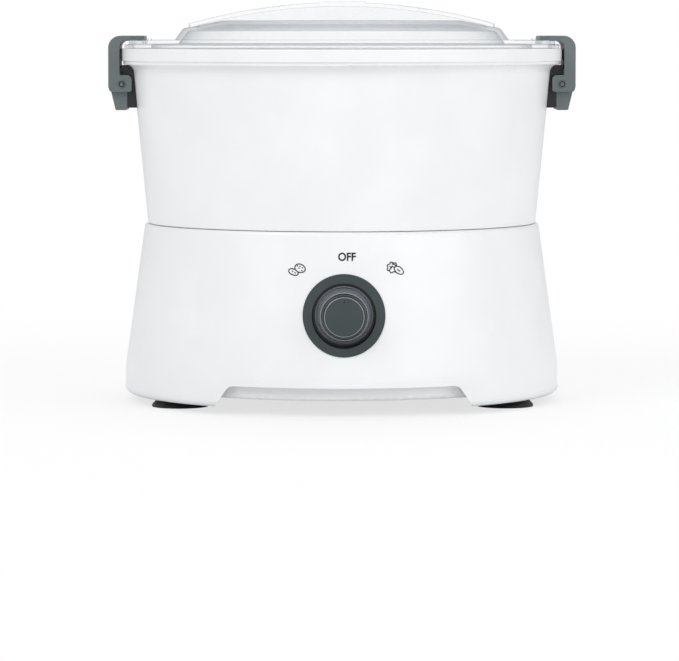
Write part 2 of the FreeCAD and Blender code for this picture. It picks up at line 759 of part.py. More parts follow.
def base_housing():
    """Moulded shell of the base with its deck, posts, knob well and seat for the bowl."""
    envelope = housing_envelope(0)
    lip_height = SKIRT_BOTTOM + HOUSING_WALL
    inside = turned([
        (0, SKIRT_BOTTOM - LAP, 0),
        (SKIRT_LIP_RADIUS, SKIRT_BOTTOM - LAP, 0),
        (SKIRT_LIP_RADIUS, lip_height, 0),
        (SKIRT_RADIUS - HOUSING_WALL, lip_height, SKIRT_CORNER - HOUSING_WALL),
        (SKIRT_RADIUS - HOUSING_WALL, KNEE_HEIGHT, KNEE_ROUND),
        (DECK_RADIUS - HOUSING_WALL, DECK_HEIGHT - DECK_WALL, 0),
        (0, DECK_HEIGHT - DECK_WALL, 0),
    ])
    shell = envelope.cut(inside).fuse(raised_edge())

    deck_under = DECK_HEIGHT - DECK_WALL
    well_radius = BEZEL_RADIUS + SLIDING + WELL_WALL
    well_back = BEZEL_FLOOR_Y - BEZEL_FLOOR_WALL - WELL_FLOOR
    added = [rod_y(well_radius, -SKIRT_RADIUS, -well_back, 0, KNOB_HEIGHT)]
    added += [rod(POST_RADIUS, PLATE_BOTTOM + PLATE_WALL, deck_under + LAP, x, y) for x, y in deck_posts()]
    tray_top = TRAY_BOTTOM + TRAY_WALL
    for x, y in tray_posts():
        added.append(rod(POST_RADIUS, tray_top, deck_under + LAP, x, y))
        web = block(0, SKIRT_RADIUS, -POST_WEB / 2, POST_WEB / 2, TRAY_RIM_HEIGHT + LAP, deck_under + LAP)
        web = web.cut(rod(TRAY_SCREW_RADIUS, 0, DECK_HEIGHT))
        web.rotate(ORIGIN, AXIS_Z, math.degrees(math.atan2(y, x)))
        added.append(web)
    pin_x, pin_y = on_circle(INTERLOCK_CIRCLE, INTERLOCK_ANGLE)
    added.append(rod(INTERLOCK_RADIUS + GUIDE_WALL, GUIDE_BOTTOM, deck_under + LAP, pin_x, pin_y))
    for side in (-1, 1):
        post_y = pin_y + side * MICRO_POST_SPAN / 2
        added.append(rod(MICRO_POST_RADIUS, MICRO_TOP, deck_under + LAP, pin_x, post_y))
    inner_parts = shell.multiFuse([piece.common(envelope) for piece in added])

    seat_radius = BOWL_BOTTOM_RADIUS - BOWL_FOOT_WALL - 2 * BODY_GAP
    low = DECK_HEIGHT - LAP
    seat = [ring(seat_radius, seat_radius - SEAT_RING_WALL, low, DECK_HEIGHT + SEAT_RING_HEIGHT)]
    seat.append(rod(DECK_COLLAR_RADIUS, low, DECK_HEIGHT + DECK_COLLAR_HEIGHT))
    seat += [rod(PEG_RADIUS, low, DECK_HEIGHT + PEG_HEIGHT, x, y) for x, y in peg_places()]
    housing = inner_parts.multiFuse(seat)

    cuts = notch_prisms(0)
    well_front = -(BEZEL_FLOOR_Y - BEZEL_FLOOR_WALL)
    cuts.append(rod_y(BEZEL_RADIUS + SLIDING, -THROUGH, well_front, 0, KNOB_HEIGHT))
    cuts.append(rod_y(SWITCH_BUSH_RADIUS + RUNNING, -THROUGH, -well_back + LAP, 0, KNOB_HEIGHT))
    cuts.append(rod_y(GLAND_BODY_RADIUS + SEAT_GAP, GLAND_INNER_Y - LAP, THROUGH, 0, GLAND_HEIGHT))
    cuts.append(bore(SHAFT_SEAL_RADIUS + SEAT_GAP))
    cuts.append(bore(INTERLOCK_RADIUS + SLIDING, pin_x, pin_y))
    screw_room = SCREW_RADIUS + SEAT_GAP
    for x, y in deck_posts():
        cuts.append(rod(screw_room, PLATE_BOTTOM, PLATE_BOTTOM + CASE_SCREW_LENGTH + LAP, x, y))
    for x, y in tray_posts():
        cuts.append(rod(screw_room, TRAY_BOTTOM, TRAY_BOTTOM + CASE_SCREW_LENGTH + LAP, x, y))
    return housing.cut(cuts).removeSplitter()


def tray_vents():
    """Slots in the tray's floor under the motor."""
    slots = []
    for i in range(VENT_COUNT):
        x = (i - (VENT_COUNT - 1) / 2) * VENT_PITCH
        half = VENT_WIDTH / 2
        y0 = MOTOR_Y - VENT_LENGTH / 2
        y1 = MOTOR_Y + VENT_LENGTH / 2
        corners = [(x - half, y0, VENT_ROUND), (x + half, y0, VENT_ROUND)]
        corners += [(x + half, y1, VENT_ROUND), (x - half, y1, VENT_ROUND)]
        slots.append(plan_prism(corners, TRAY_BOTTOM - LAP, TRAY_BOTTOM + TRAY_WALL + LAP))
    return slots


def board_posts():
    """Where the posts under the control board stand."""
    half_x = BOARD_WIDTH / 2 - BOARD_POST_INSET
    half_y = BOARD_DEPTH / 2 - BOARD_POST_INSET
    return [(BOARD_X + dx, BOARD_Y + dy) for dx, dy in corners_of(half_x, half_y)]


def clamp_block(z0, z1):
    """Block of the cord clamp's plan between two heights."""
    return block(-CLAMP_HALF_WIDTH, CLAMP_HALF_WIDTH, CLAMP_Y, CLAMP_Y + CLAMP_DEPTH, z0, z1)


def clamp_screw_places():
    """Where the cord clamp's two screws stand."""
    y = CLAMP_Y + CLAMP_DEPTH / 2
    return [(-CLAMP_SCREW_X, y), (CLAMP_SCREW_X, y)]


def bottom_tray():
    """Tray that closes the base from below, with an upturned rim that shows in the notch."""
    floor_top = TRAY_BOTTOM + TRAY_WALL
    tray = turned([
        (0, TRAY_BOTTOM, 0),
        (TRAY_RADIUS, TRAY_BOTTOM, TRAY_ROUND),
        (TRAY_RADIUS, TRAY_RIM_HEIGHT, 0),
        (TRAY_RADIUS - TRAY_WALL, TRAY_RIM_HEIGHT, 0),
        (TRAY_RADIUS - TRAY_WALL, floor_top, 0),
        (0, floor_top, 0),
    ])
    post_top = floor_top + BOARD_POST_HEIGHT
    added = [rod(BOARD_POST_RADIUS, floor_top - LAP, post_top, x, y) for x, y in board_posts()]
    added.append(clamp_block(floor_top - LAP, GLAND_HEIGHT))
    cuts = tray_vents()
    cuts.append(rod_y(GLAND_BORE_RADIUS, CLAMP_Y - LAP, CLAMP_Y + CLAMP_DEPTH + LAP, 0, GLAND_HEIGHT))
    tapped = SCREW_RADIUS + SEAT_GAP
    clamp_low = GLAND_HEIGHT - CLAMP_SCREW_DEPTH - LAP
    cuts += [rod(tapped, clamp_low, GLAND_HEIGHT + LAP, x, y) for x, y in clamp_screw_places()]
    cuts += [rod(tapped, floor_top, post_top + LAP, x, y) for x, y in board_posts()]
    cuts.append(rod_y(GLAND_BODY_RADIUS + BODY_GAP, GLAND_INNER_Y - LAP, THROUGH, 0, GLAND_HEIGHT))
    cuts += [bore(SCREW_RADIUS + SLIDING, x, y) for x, y in tray_posts()]
    cuts += [bore(FOOT_STUD_RADIUS + SEAT_GAP, x, y) for x, y in corners_of(FOOT_X, FOOT_Y)]
    return tray.multiFuse(added).cut(cuts).removeSplitter()


def rubber_feet():
    """Four flared suction feet with studs that snap into the tray."""
    floor_top = TRAY_BOTTOM + TRAY_WALL
    foot = turned([
        (0, FOOT_DISH_DEPTH, 0),
        (FOOT_DISH_RADIUS, FOOT_DISH_DEPTH, 0),
        (FOOT_DISH_RADIUS + FOOT_SOLE_BEVEL, 0, 0),
        (FOOT_RADIUS, 0, 0),
        (FOOT_RADIUS, FOOT_RIM, 0),
        (FOOT_NECK_RADIUS, FOOT_FLARE_TOP, 0),
        (FOOT_NECK_RADIUS, TRAY_BOTTOM, 0),
        (FOOT_STUD_RADIUS, TRAY_BOTTOM, 0),
        (FOOT_STUD_RADIUS, floor_top + SEAT_GAP, 0),
        (FOOT_STUD_HEAD_RADIUS, floor_top + SEAT_GAP, 0),
        (FOOT_STUD_TIP_RADIUS, floor_top + FOOT_STUD_HEAD, 0),
        (0, floor_top + FOOT_STUD_HEAD, 0),
    ])
    feet = []
    for x, y in corners_of(FOOT_X, FOOT_Y):
        copy = foot.copy()
        copy.translate(V(x, y, 0))
        feet.append(copy)
    return Part.makeCompound(feet)


def case_screws():
    """Eight alike screws: four hold the tray on the housing, four hang the gear plate under the deck."""
    tray = [screw_up(x, y, TRAY_BOTTOM - SCREW_HEAD_HEIGHT, CASE_SCREW_LENGTH) for x, y in tray_posts()]
    plate = [screw_up(x, y, PLATE_BOTTOM - SCREW_HEAD_HEIGHT, CASE_SCREW_LENGTH) for x, y in deck_posts()]
    return Part.makeCompound(tray + plate)


def knob_bezel():
    """Dished collar in the well round the knob, with its front flush to the housing's flare."""
    back = -(BEZEL_FLOOR_Y - BEZEL_FLOOR_WALL)
    body = rod_y(BEZEL_RADIUS, -THROUGH, back, 0, KNOB_HEIGHT).common(housing_envelope(BEZEL_PROUD))
    slope = (DISH_MOUTH_RADIUS - DISH_FLOOR_RADIUS) / (DISH_MOUTH_Y - BEZEL_FLOOR_Y)
    reach = DISH_MOUTH_Y - BEZEL_FLOOR_Y + BEYOND
    dish = Part.makeCone(
        DISH_FLOOR_RADIUS, DISH_FLOOR_RADIUS + slope * reach, reach,
        V(0, -BEZEL_FLOOR_Y, KNOB_HEIGHT), V(0, -1, 0),
    )
    return body.cut([dish, bore_y(SWITCH_BUSH_RADIUS + SLIDING, 0, KNOB_HEIGHT)])


def switch_bush_end():
    """Distance of the switch bush's outer end from the body's axis."""
    return BEZEL_FLOOR_Y + NUT_THICKNESS + SWITCH_BUSH_PAST_NUT


def rotary_switch():
    """Rotary switch behind the well, with the threaded bush that its shaft turns in."""
    front = BEZEL_FLOOR_Y - BEZEL_FLOOR_WALL - WELL_FLOOR
    half = SWITCH_SIZE / 2
    back = -front + SWITCH_DEPTH
    low = KNOB_HEIGHT - half
    high = KNOB_HEIGHT + half
    plan = [(-half, low, SWITCH_ROUND), (half, low, SWITCH_ROUND)]
    plan += [(half, high, SWITCH_ROUND), (-half, high, SWITCH_ROUND)]
    added = [rod_y(SWITCH_BUSH_RADIUS, -switch_bush_end(), -front + LAP, 0, KNOB_HEIGHT)]
    for i in (-1, 0, 1):
        x = i * TERMINAL_PITCH - TERMINAL_WIDTH / 2
        z = KNOB_HEIGHT - TERMINAL_THICKNESS / 2
        tip = back + TERMINAL_LENGTH
        added.append(block(x, x + TERMINAL_WIDTH, back - LAP, tip, z, z + TERMINAL_THICKNESS))
    hole = rod_y(SWITCH_SHAFT_RADIUS + RUNNING, -THROUGH, back - SWITCH_BORE_END, 0, KNOB_HEIGHT)
    return side_prism(plan, -front, back).multiFuse(added).cut(hole)


def switch_nut():
    """Hexagon nut that clamps the bezel and the switch to the well's floor."""
    outer = -(BEZEL_FLOOR_Y + NUT_THICKNESS)
    wire = polygon_wire(6, NUT_RADIUS, lambda a, b: V(a, outer, KNOB_HEIGHT + b))
    nut = Part.Face(wire).extrude(V(0, NUT_THICKNESS, 0))
    return nut.cut(bore_y(SWITCH_BUSH_RADIUS + SEAT_GAP, 0, KNOB_HEIGHT))


def knob_base_y():
    """Distance of the knob's inner edge from the body's axis."""
    return BEZEL_FLOOR_Y + KNOB_GAP


def facet_frustum(r0, r1, s0, s1):
    """Many-sided tapering grip between two distances out from the knob's inner edge."""
    wires = []
    for radius, s in ((r0, s0), (r1, s1)):
        y = -(knob_base_y() + s)
        wires.append(polygon_wire(KNOB_FACETS, radius, lambda a, b, y=y: V(a, y, KNOB_HEIGHT + b)))
    return Part.makeLoft(wires, True, True)


def knob():
    """Faceted knob with a skirt, a stepped top and a hollow back."""
    base = knob_base_y()
    lip = (KNOB_RING_RADIUS + KNOB_FACE_RADIUS) / 2
    inside = -(base + KNOB_SKIRT_DEPTH)
    solid = facet_frustum(KNOB_SKIRT_RADIUS, KNOB_SKIRT_RADIUS, 0, KNOB_SKIRT_DEPTH).multiFuse([
        facet_frustum(KNOB_GRIP_RADIUS, KNOB_GRIP_TOP_RADIUS, KNOB_SKIRT_DEPTH - LAP, KNOB_GRIP_END),
        rod_y(KNOB_RING_RADIUS, -(base + KNOB_RING_END), inside, 0, KNOB_HEIGHT),
        rod_y(lip, -(base + KNOB_LENGTH), inside, 0, KNOB_HEIGHT),
    ])
    cavity = rod_y(KNOB_CAVITY_RADIUS, -(base + KNOB_CAVITY_DEPTH), -base + LAP, 0, KNOB_HEIGHT)
    boss_start = switch_bush_end() + 2 * BODY_GAP
    boss = rod_y(KNOB_BOSS_RADIUS, -(base + KNOB_CAVITY_DEPTH + LAP), -boss_start, 0, KNOB_HEIGHT)
    cap_seat = rod_y(KNOB_FACE_RADIUS, -THROUGH, -(base + KNOB_LENGTH - KNOB_CAP_THICKNESS), 0, KNOB_HEIGHT)
    shaft_hole = rod_y(SWITCH_SHAFT_RADIUS + SEAT_GAP, -knob_shaft_end(), 0, 0, KNOB_HEIGHT)
    return solid.cut(cavity).fuse(boss).cut([cap_seat, shaft_hole]).removeSplitter()


def knob_shaft_end():
    """Distance of the switch shaft's outer end from the body's axis."""
    return knob_base_y() + KNOB_LENGTH - KNOB_CAP_THICKNESS - KNOB_SHAFT_COVER


def knob_cap():
    """Round face plate of the knob with the small mark that points at the printed positions."""
    face = knob_base_y() + KNOB_LENGTH
    plate = rod_y(KNOB_FACE_RADIUS - SEAT_GAP, -face, -(face - KNOB_CAP_THICKNESS), 0, KNOB_HEIGHT)
    dot = rod_y(KNOB_DOT_RADIUS, -face - LAP, -(face - KNOB_DOT_DEPTH), 0, KNOB_HEIGHT + KNOB_DOT_OFFSET)
    return plate.cut(dot)


def knob_shaft():
    """Shaft of the rotary switch, held in the knob."""
    inner = BEZEL_FLOOR_Y - BEZEL_FLOOR_WALL - WELL_FLOOR - SWITCH_DEPTH + SWITCH_BORE_END + BODY_GAP
    return rod_y(SWITCH_SHAFT_RADIUS, -knob_shaft_end(), -inner, 0, KNOB_HEIGHT)


def housing_radius(z):
    """Radius of the housing's flared outside at a height above the knee."""
    share = (z - KNEE_HEIGHT) / (DECK_HEIGHT - KNEE_HEIGHT)
    return SKIRT_RADIUS + share * (DECK_RADIUS - SKIRT_RADIUS)


def cable_gland():
    """Round gland at the rear with the bore where the mains lead enters."""
    seat = housing_radius(GLAND_HEIGHT) + BODY_GAP
    flange = rod_y(GLAND_FLANGE_RADIUS, seat, seat + GLAND_FLANGE, 0, GLAND_HEIGHT)
    root = GLAND_BODY_RADIUS + GLAND_NOSE_PROUD
    nose_y = seat + GLAND_FLANGE - LAP
    length = GLAND_OUTER_Y - nose_y
    nose = Part.makeCone(root, root - GLAND_NOSE_TAPER, length, V(0, nose_y, GLAND_HEIGHT), V(0, 1, 0))
    body = rod_y(GLAND_BODY_RADIUS, GLAND_INNER_Y, seat + LAP, 0, GLAND_HEIGHT)
    outside = flange.fuse(nose).cut(housing_envelope(0))
    return outside.fuse(body).cut(bore_y(GLAND_BORE_RADIUS, 0, GLAND_HEIGHT))


def cord_clamp():
    """Bar that clamps the lead on the tray's block."""
    bar = clamp_block(GLAND_HEIGHT, GLAND_HEIGHT + CLAMP_THICKNESS)
    holes = [bore(SCREW_RADIUS + SEAT_GAP, x, y) for x, y in clamp_screw_places()]
    return bar.cut([bore_y(GLAND_BORE_RADIUS, 0, GLAND_HEIGHT)] + holes)


def clamp_screws():
    """Two screws of the cord clamp."""
    top = GLAND_HEIGHT + CLAMP_THICKNESS + SCREW_HEAD_HEIGHT
    length = CLAMP_THICKNESS + CLAMP_SCREW_DEPTH
    return Part.makeCompound([screw_down(x, y, top, length) for x, y in clamp_screw_places()])


def board_level():
    """Height of the control board's underside."""
    return TRAY_BOTTOM + TRAY_WALL + BOARD_POST_HEIGHT


def control_board():
    """Circuit board on the tray's posts."""
    low = board_level()
    board = block(
        BOARD_X - BOARD_WIDTH / 2, BOARD_X + BOARD_WIDTH / 2,
        BOARD_Y - BOARD_DEPTH / 2, BOARD_Y + BOARD_DEPTH / 2, low, low + BOARD_THICKNESS,
    )
    return board.cut([bore(SCREW_RADIUS + SEAT_GAP, x, y) for x, y in board_posts()])


def board_parts():
    """Capacitor, relay and terminal block on the circuit board."""
    top = board_level() + BOARD_THICKNESS
    x, y = BOARD_X - CAPACITOR_LEFT, BOARD_Y + CAPACITOR_BEHIND
    capacitor = rod(CAPACITOR_RADIUS, top, top + CAPACITOR_HEIGHT, x, y)
    x = BOARD_X + RELAY_RIGHT
    relay = block(x, x + RELAY_SIZE, BOARD_Y, BOARD_Y + RELAY_SIZE, top, top + RELAY_SIZE)
    x, y = BOARD_X - TERMINALS_LEFT, BOARD_Y - TERMINALS_FRONT
    terminals = block(x, x + TERMINALS_WIDTH, y, y + TERMINALS_DEPTH, top, top + TERMINALS_HEIGHT)
    return Part.makeCompound([capacitor, relay, terminals])


def board_screws():
    """Four screws that hold the circuit board."""
    top = board_level() + BOARD_THICKNESS + SCREW_HEAD_HEIGHT
    length = BOARD_THICKNESS + BOARD_POST_HEIGHT - BOARD_SCREW_END
    return Part.makeCompound([screw_down(x, y, top, length) for x, y in board_posts()])


def micro_switch():
    """Switch that the interlock pin presses, hung from two posts under the deck."""
    x, y = on_circle(INTERLOCK_CIRCLE, INTERLOCK_ANGLE)
    body = block(
        x - MICRO_WIDTH / 2, x + MICRO_WIDTH / 2, y - MICRO_LENGTH / 2, y + MICRO_LENGTH / 2,
        MICRO_TOP - MICRO_HEIGHT, MICRO_TOP,
    )
    low = MICRO_TOP - MICRO_HEIGHT
    half = MICRO_TERMINAL_WIDTH / 2
    tip = low - MICRO_TERMINAL_LENGTH
    terminals = []
    for i in (-1, 0, 1):
        at = y + i * MICRO_TERMINAL_PITCH - TERMINAL_THICKNESS / 2
        terminals.append(block(x - half, x + half, at, at + TERMINAL_THICKNESS, tip, low + LAP))
    return body.multiFuse(terminals)


def interlock_pin():
    """Pin that the bowl presses down against its spring."""
    x, y = on_circle(INTERLOCK_CIRCLE, INTERLOCK_ANGLE)
    top = BOWL_FLOOR_BOTTOM - BODY_GAP
    shoulder = top - INTERLOCK_TIP
    stem = rod(INTERLOCK_RADIUS, INTERLOCK_BOTTOM, shoulder, x, y)
    tip = Part.makeCone(INTERLOCK_RADIUS, INTERLOCK_RADIUS - INTERLOCK_TIP, INTERLOCK_TIP, V(x, y, shoulder))
    collar = rod(INTERLOCK_COLLAR_RADIUS, INTERLOCK_COLLAR_BOTTOM, INTERLOCK_COLLAR_TOP, x, y)
    return stem.multiFuse([tip, collar])


def interlock_spring():
    """Spring of the interlock pin, drawn as the sleeve that its turns fill."""
    x, y = on_circle(INTERLOCK_CIRCLE, INTERLOCK_ANGLE)
    top = INTERLOCK_COLLAR_BOTTOM - BODY_GAP
    return ring(SPRING_OUTER_RADIUS, SPRING_INNER_RADIUS, MICRO_TOP, top, x, y)


def involute_angle(radius, base_radius):
    """Involute function at a radius."""
    cosine = min(1.0, base_radius / radius)
    pressure = math.acos(cosine)
    return math.tan(pressure) - pressure


def gear_prism(module, teeth, z0, z1, x, y, tooth_at):
    """Spur gear with involute flanks and a tooth centred on the direction tooth_at, in degrees."""
    pitch_radius = module * teeth / 2
    base_radius = pitch_radius * math.cos(math.radians(PRESSURE_ANGLE))
    tip_radius = pitch_radius + ADDENDUM * module
    root_radius = pitch_radius - DEDENDUM * module
    half_at_pitch = (math.pi * module / 2 - BACKLASH) / 2 / pitch_radius
    half_at_base = half_at_pitch + involute_angle(pitch_radius, base_radius)
    start = max(base_radius, root_radius)
    flank = [(root_radius, half_at_base)] if root_radius < base_radius else []
    for i in range(FLANK_STEPS + 1):
        radius = start + (tip_radius - start) * i / FLANK_STEPS
        flank.append((radius, half_at_base - involute_angle(radius, base_radius)))
    points = []
    for tooth in range(teeth):
        middle = math.radians(tooth_at) + 2 * math.pi * tooth / teeth
        rising = [(radius, middle - half) for radius, half in flank]
        falling = [(radius, middle + half) for radius, half in reversed(flank)]
        for radius, angle in rising + falling:
            points.append(V(x + radius * math.cos(angle), y + radius * math.sin(angle), z0))
    points.append(points[0])
    return Part.Face(Part.makePolygon(points)).extrude(V(0, 0, z1 - z0))


def direction(from_place, to_place):
    """Direction in degrees from one axis to another in plan."""
    return math.degrees(math.atan2(to_place[1] - from_place[1], to_place[0] - from_place[0]))


def motor_pinion():
    """Pinion on the motor's shaft."""
    towards = direction((0, MOTOR_Y), idler_place())
    low = FIRST_GEAR_BOTTOM - PINION_OVERHANG
    high = FIRST_GEAR_TOP + PINION_OVERHANG
    gear = gear_prism(FIRST_MODULE, PINION_TEETH, low, high, 0, MOTOR_Y, towards)
    return gear.cut(bore(MOTOR_SHAFT_RADIUS, 0, MOTOR_Y))


def idler_gear():
    """Compound idler: a wheel driven by the pinion and a small gear that drives the output gear."""
    x, y = idler_place()
    to_motor = direction((x, y), (0, MOTOR_Y))
    to_output = direction((x, y), (0, 0))
    turn = to_motor + 180 / WHEEL_TEETH
    wheel = gear_prism(FIRST_MODULE, WHEEL_TEETH, FIRST_GEAR_BOTTOM, FIRST_GEAR_TOP, x, y, turn)
    small = gear_prism(SECOND_MODULE, SMALL_TEETH, FIRST_GEAR_TOP - LAP, SECOND_GEAR_TOP, x, y, to_output)
    recess = ring(IDLER_RIM, IDLER_WEB, FIRST_GEAR_BOTTOM - LAP, FIRST_GEAR_BOTTOM + IDLER_RECESS, x, y)
    hub = rod(IDLER_HUB, PLATE_BOTTOM + PLATE_WALL + 2 * BODY_GAP, FIRST_GEAR_BOTTOM + LAP, x, y)
    return wheel.cut(recess).multiFuse([small, hub]).cut(bore(IDLER_AXLE_RADIUS + RUNNING, x, y))


def idler_axle():
    """Fixed axle of the idler, held in the gear plate and the cover."""
    x, y = idler_place()
    return rod(IDLER_AXLE_RADIUS, PLATE_BOTTOM, COVER_TOP - COVER_WALL - SEAT_GAP, x, y)


def output_gear():
    """Large gear on the output shaft."""
    turn = direction((0, 0), idler_place()) + 180 / OUTPUT_TEETH
    gear = gear_prism(SECOND_MODULE, OUTPUT_TEETH, SECOND_GEAR_BOTTOM, SECOND_GEAR_TOP, 0, 0, turn)
    low = SECOND_GEAR_BOTTOM
    recess = ring(OUTPUT_GEAR_RIM, OUTPUT_GEAR_WEB, low - LAP, low + OUTPUT_RECESS)
    hub = rod(OUTPUT_GEAR_HUB, output_clip_top() + SEAT_GAP, low + LAP)
    return gear.cut(recess).fuse(hub).cut(bore(OUTPUT_SHAFT_RADIUS))


def output_clip_top():
    """Top of the ring that carries the output gear."""
    return PLATE_BOTTOM + LOWER_BUSH_HEIGHT + 2 * BODY_GAP + OUTPUT_CLIP_THICKNESS


def output_clip():
    """Retaining ring in the output shaft's groove under the gear."""
    top = output_clip_top()
    return ring(OUTPUT_CLIP_RADIUS, OUTPUT_SHAFT_RADIUS - CLIP_GROOVE, top - OUTPUT_CLIP_THICKNESS, top)


def output_shaft():
    """Upright output shaft with a groove for its retaining ring."""
    top = output_clip_top()
    floor = OUTPUT_SHAFT_RADIUS - CLIP_GROOVE
    groove = ring(OUTPUT_SHAFT_RADIUS + LAP, floor, top - OUTPUT_CLIP_THICKNESS, top)
    return rod(OUTPUT_SHAFT_RADIUS, PLATE_BOTTOM + BODY_GAP, OUTPUT_SHAFT_TOP).cut(groove)


def drive_dog():
    """Hexagonal dog on the output shaft that drives the bowl's spindle."""
    dog = polygon_prism(6, DOG_FLATS, DOG_BOTTOM, DOG_TOP)
    corner = DOG_FLATS / 2 / math.cos(math.pi / 6)
    lead = turned([
        (0, DOG_BOTTOM, 0), (corner, DOG_BOTTOM, 0), (corner, DOG_TOP - DOG_LEAD, 0),
        (corner - DOG_LEAD, DOG_TOP, 0), (0, DOG_TOP, 0),
    ])
    return dog.common(lead).cut(rod(OUTPUT_SHAFT_RADIUS, 0, OUTPUT_SHAFT_TOP))


def output_bushes():
    """Bearing bushes of the output shaft in the gear plate and in the cover."""
    inner = OUTPUT_SHAFT_RADIUS + RUNNING
    lower = ring(OUTPUT_BUSH_RADIUS, inner, PLATE_BOTTOM, PLATE_BOTTOM + LOWER_BUSH_HEIGHT)
    upper = ring(OUTPUT_BUSH_RADIUS, inner, COVER_TOP - UPPER_BUSH_HEIGHT, COVER_TOP)
    return Part.makeCompound([lower, upper])


def shaft_seal():
    """Lip seal of the output shaft in the deck."""
    inner = OUTPUT_SHAFT_RADIUS + RUNNING
    return ring(SHAFT_SEAL_RADIUS, inner, DECK_HEIGHT - DECK_WALL, DECK_HEIGHT + DECK_COLLAR_HEIGHT)


def gear_plate():
    """Plate under the deck's posts that carries the motor and the gears."""
    top = PLATE_BOTTOM + PLATE_WALL
    plate = plan_prism([
        (-PLATE_HALF_WIDTH, PLATE_FRONT_Y, PLATE_ROUND),
        (PLATE_HALF_WIDTH, PLATE_FRONT_Y, PLATE_ROUND),
        (PLATE_HALF_WIDTH, PLATE_REAR_Y, PLATE_ROUND),
        (-PLATE_HALF_WIDTH, PLATE_REAR_Y, PLATE_ROUND),
    ], PLATE_BOTTOM, top)
    boss = rod(OUTPUT_BUSH_RADIUS + BUSH_BOSS_WALL, top - LAP, PLATE_BOTTOM + LOWER_BUSH_HEIGHT)
    cuts = [bore(OUTPUT_BUSH_RADIUS + SEAT_GAP), bore(MOTOR_BOSS_RADIUS + SEAT_GAP, 0, MOTOR_Y)]
    cuts.append(bore(IDLER_AXLE_RADIUS + SEAT_GAP, *idler_place()))
    cuts += [bore(SCREW_RADIUS + SLIDING, x, y) for x, y in deck_posts() + motor_screw_places()]
    return plate.fuse(boss).cut(cuts)


def cover_rods(grow, z0, z1):
    """The three overlapping rounds of the gear cover's plan."""
    tip = ADDENDUM + COVER_CLEARANCE
    x, y = idler_place()
    output = rod(SECOND_MODULE * (OUTPUT_TEETH / 2 + tip) + grow, z0, z1)
    idler = rod(FIRST_MODULE * (WHEEL_TEETH / 2 + tip) + grow, z0, z1, x, y)
    pinion = rod(FIRST_MODULE * (PINION_TEETH / 2 + tip) + grow, z0, z1, 0, MOTOR_Y)
    return output.multiFuse([idler, pinion])


def gear_cover():
    """Cup over the gears, standing on the gear plate."""
    low = PLATE_BOTTOM + PLATE_WALL
    under = COVER_TOP - COVER_WALL
    cup = cover_rods(COVER_WALL, low, COVER_TOP).cut(cover_rods(0, low - LAP, under))
    x, y = idler_place()
    bosses = [rod(OUTPUT_BUSH_RADIUS + BUSH_BOSS_WALL, COVER_TOP - UPPER_BUSH_HEIGHT, COVER_TOP)]
    bosses.append(rod(IDLER_AXLE_RADIUS + BUSH_BOSS_WALL, SECOND_GEAR_TOP + 2 * BODY_GAP, under + LAP, x, y))
    cuts = [bore(OUTPUT_BUSH_RADIUS + SEAT_GAP)]
    cuts.append(rod(IDLER_AXLE_RADIUS + SEAT_GAP, low - LAP, under, x, y))
    return cup.multiFuse(bosses).cut(cuts).removeSplitter()


def motor_screw_places():
    """Where the motor's screws pass the gear plate."""
    places = []
    for angle in MOTOR_SCREW_ANGLES:
        x, y = on_circle(MOTOR_SCREW_CIRCLE, angle)
        places.append((x, MOTOR_Y + y))
    return places


def motor_screws():
    """Screws that hold the motor under the gear plate."""
    top = PLATE_BOTTOM + PLATE_WALL + SCREW_HEAD_HEIGHT
    length = PLATE_WALL + MOTOR_SCREW_DEPTH
    return Part.makeCompound([screw_down(x, y, top, length) for x, y in motor_screw_places()])


def motor_can():
    """Drawn steel can of the motor with its boss in the gear plate."""
    can = rod(MOTOR_RADIUS, MOTOR_BOTTOM, PLATE_BOTTOM, 0, MOTOR_Y)
    inner = rod(MOTOR_RADIUS - MOTOR_WALL, MOTOR_BOTTOM - LAP, PLATE_BOTTOM - MOTOR_WALL, 0, MOTOR_Y)
    boss = rod(MOTOR_BOSS_RADIUS, PLATE_BOTTOM - LAP, PLATE_BOTTOM + MOTOR_BOSS_HEIGHT, 0, MOTOR_Y)
    cuts = [bore(MOTOR_BUSH_RADIUS + SEAT_GAP, 0, MOTOR_Y)]
    screw_bottom = PLATE_BOTTOM - MOTOR_WALL - LAP
    cuts += [rod(SCREW_RADIUS + SEAT_GAP, screw_bottom, THROUGH, x, y) for x, y in motor_screw_places()]
    return can.cut(inner).fuse(boss).cut(cuts)


def motor_end_cap():
    """Plastic end cap with the lower bearing's boss."""
    top = MOTOR_BOTTOM + MOTOR_END_CAP
    plug = rod(MOTOR_RADIUS - MOTOR_WALL - SEAT_GAP, MOTOR_BOTTOM, top, 0, MOTOR_Y)
    boss = rod(MOTOR_BUSH_RADIUS + BUSH_BOSS_WALL, MOTOR_BOTTOM - MOTOR_CAP_BOSS, top - LAP, 0, MOTOR_Y)
    return plug.fuse(boss).cut(bore(MOTOR_BUSH_RADIUS + SEAT_GAP, 0, MOTOR_Y))


def motor_bushes():
    """Sintered bushes of the motor's shaft."""
    inner = MOTOR_SHAFT_RADIUS + RUNNING
    low = MOTOR_BOTTOM - MOTOR_CAP_BOSS
    lower = ring(MOTOR_BUSH_RADIUS, inner, low, MOTOR_BOTTOM + MOTOR_END_CAP, 0, MOTOR_Y)
    high = PLATE_BOTTOM + MOTOR_BOSS_HEIGHT
    upper = ring(MOTOR_BUSH_RADIUS, inner, PLATE_BOTTOM - MOTOR_WALL, high, 0, MOTOR_Y)
    return Part.makeCompound([lower, upper])


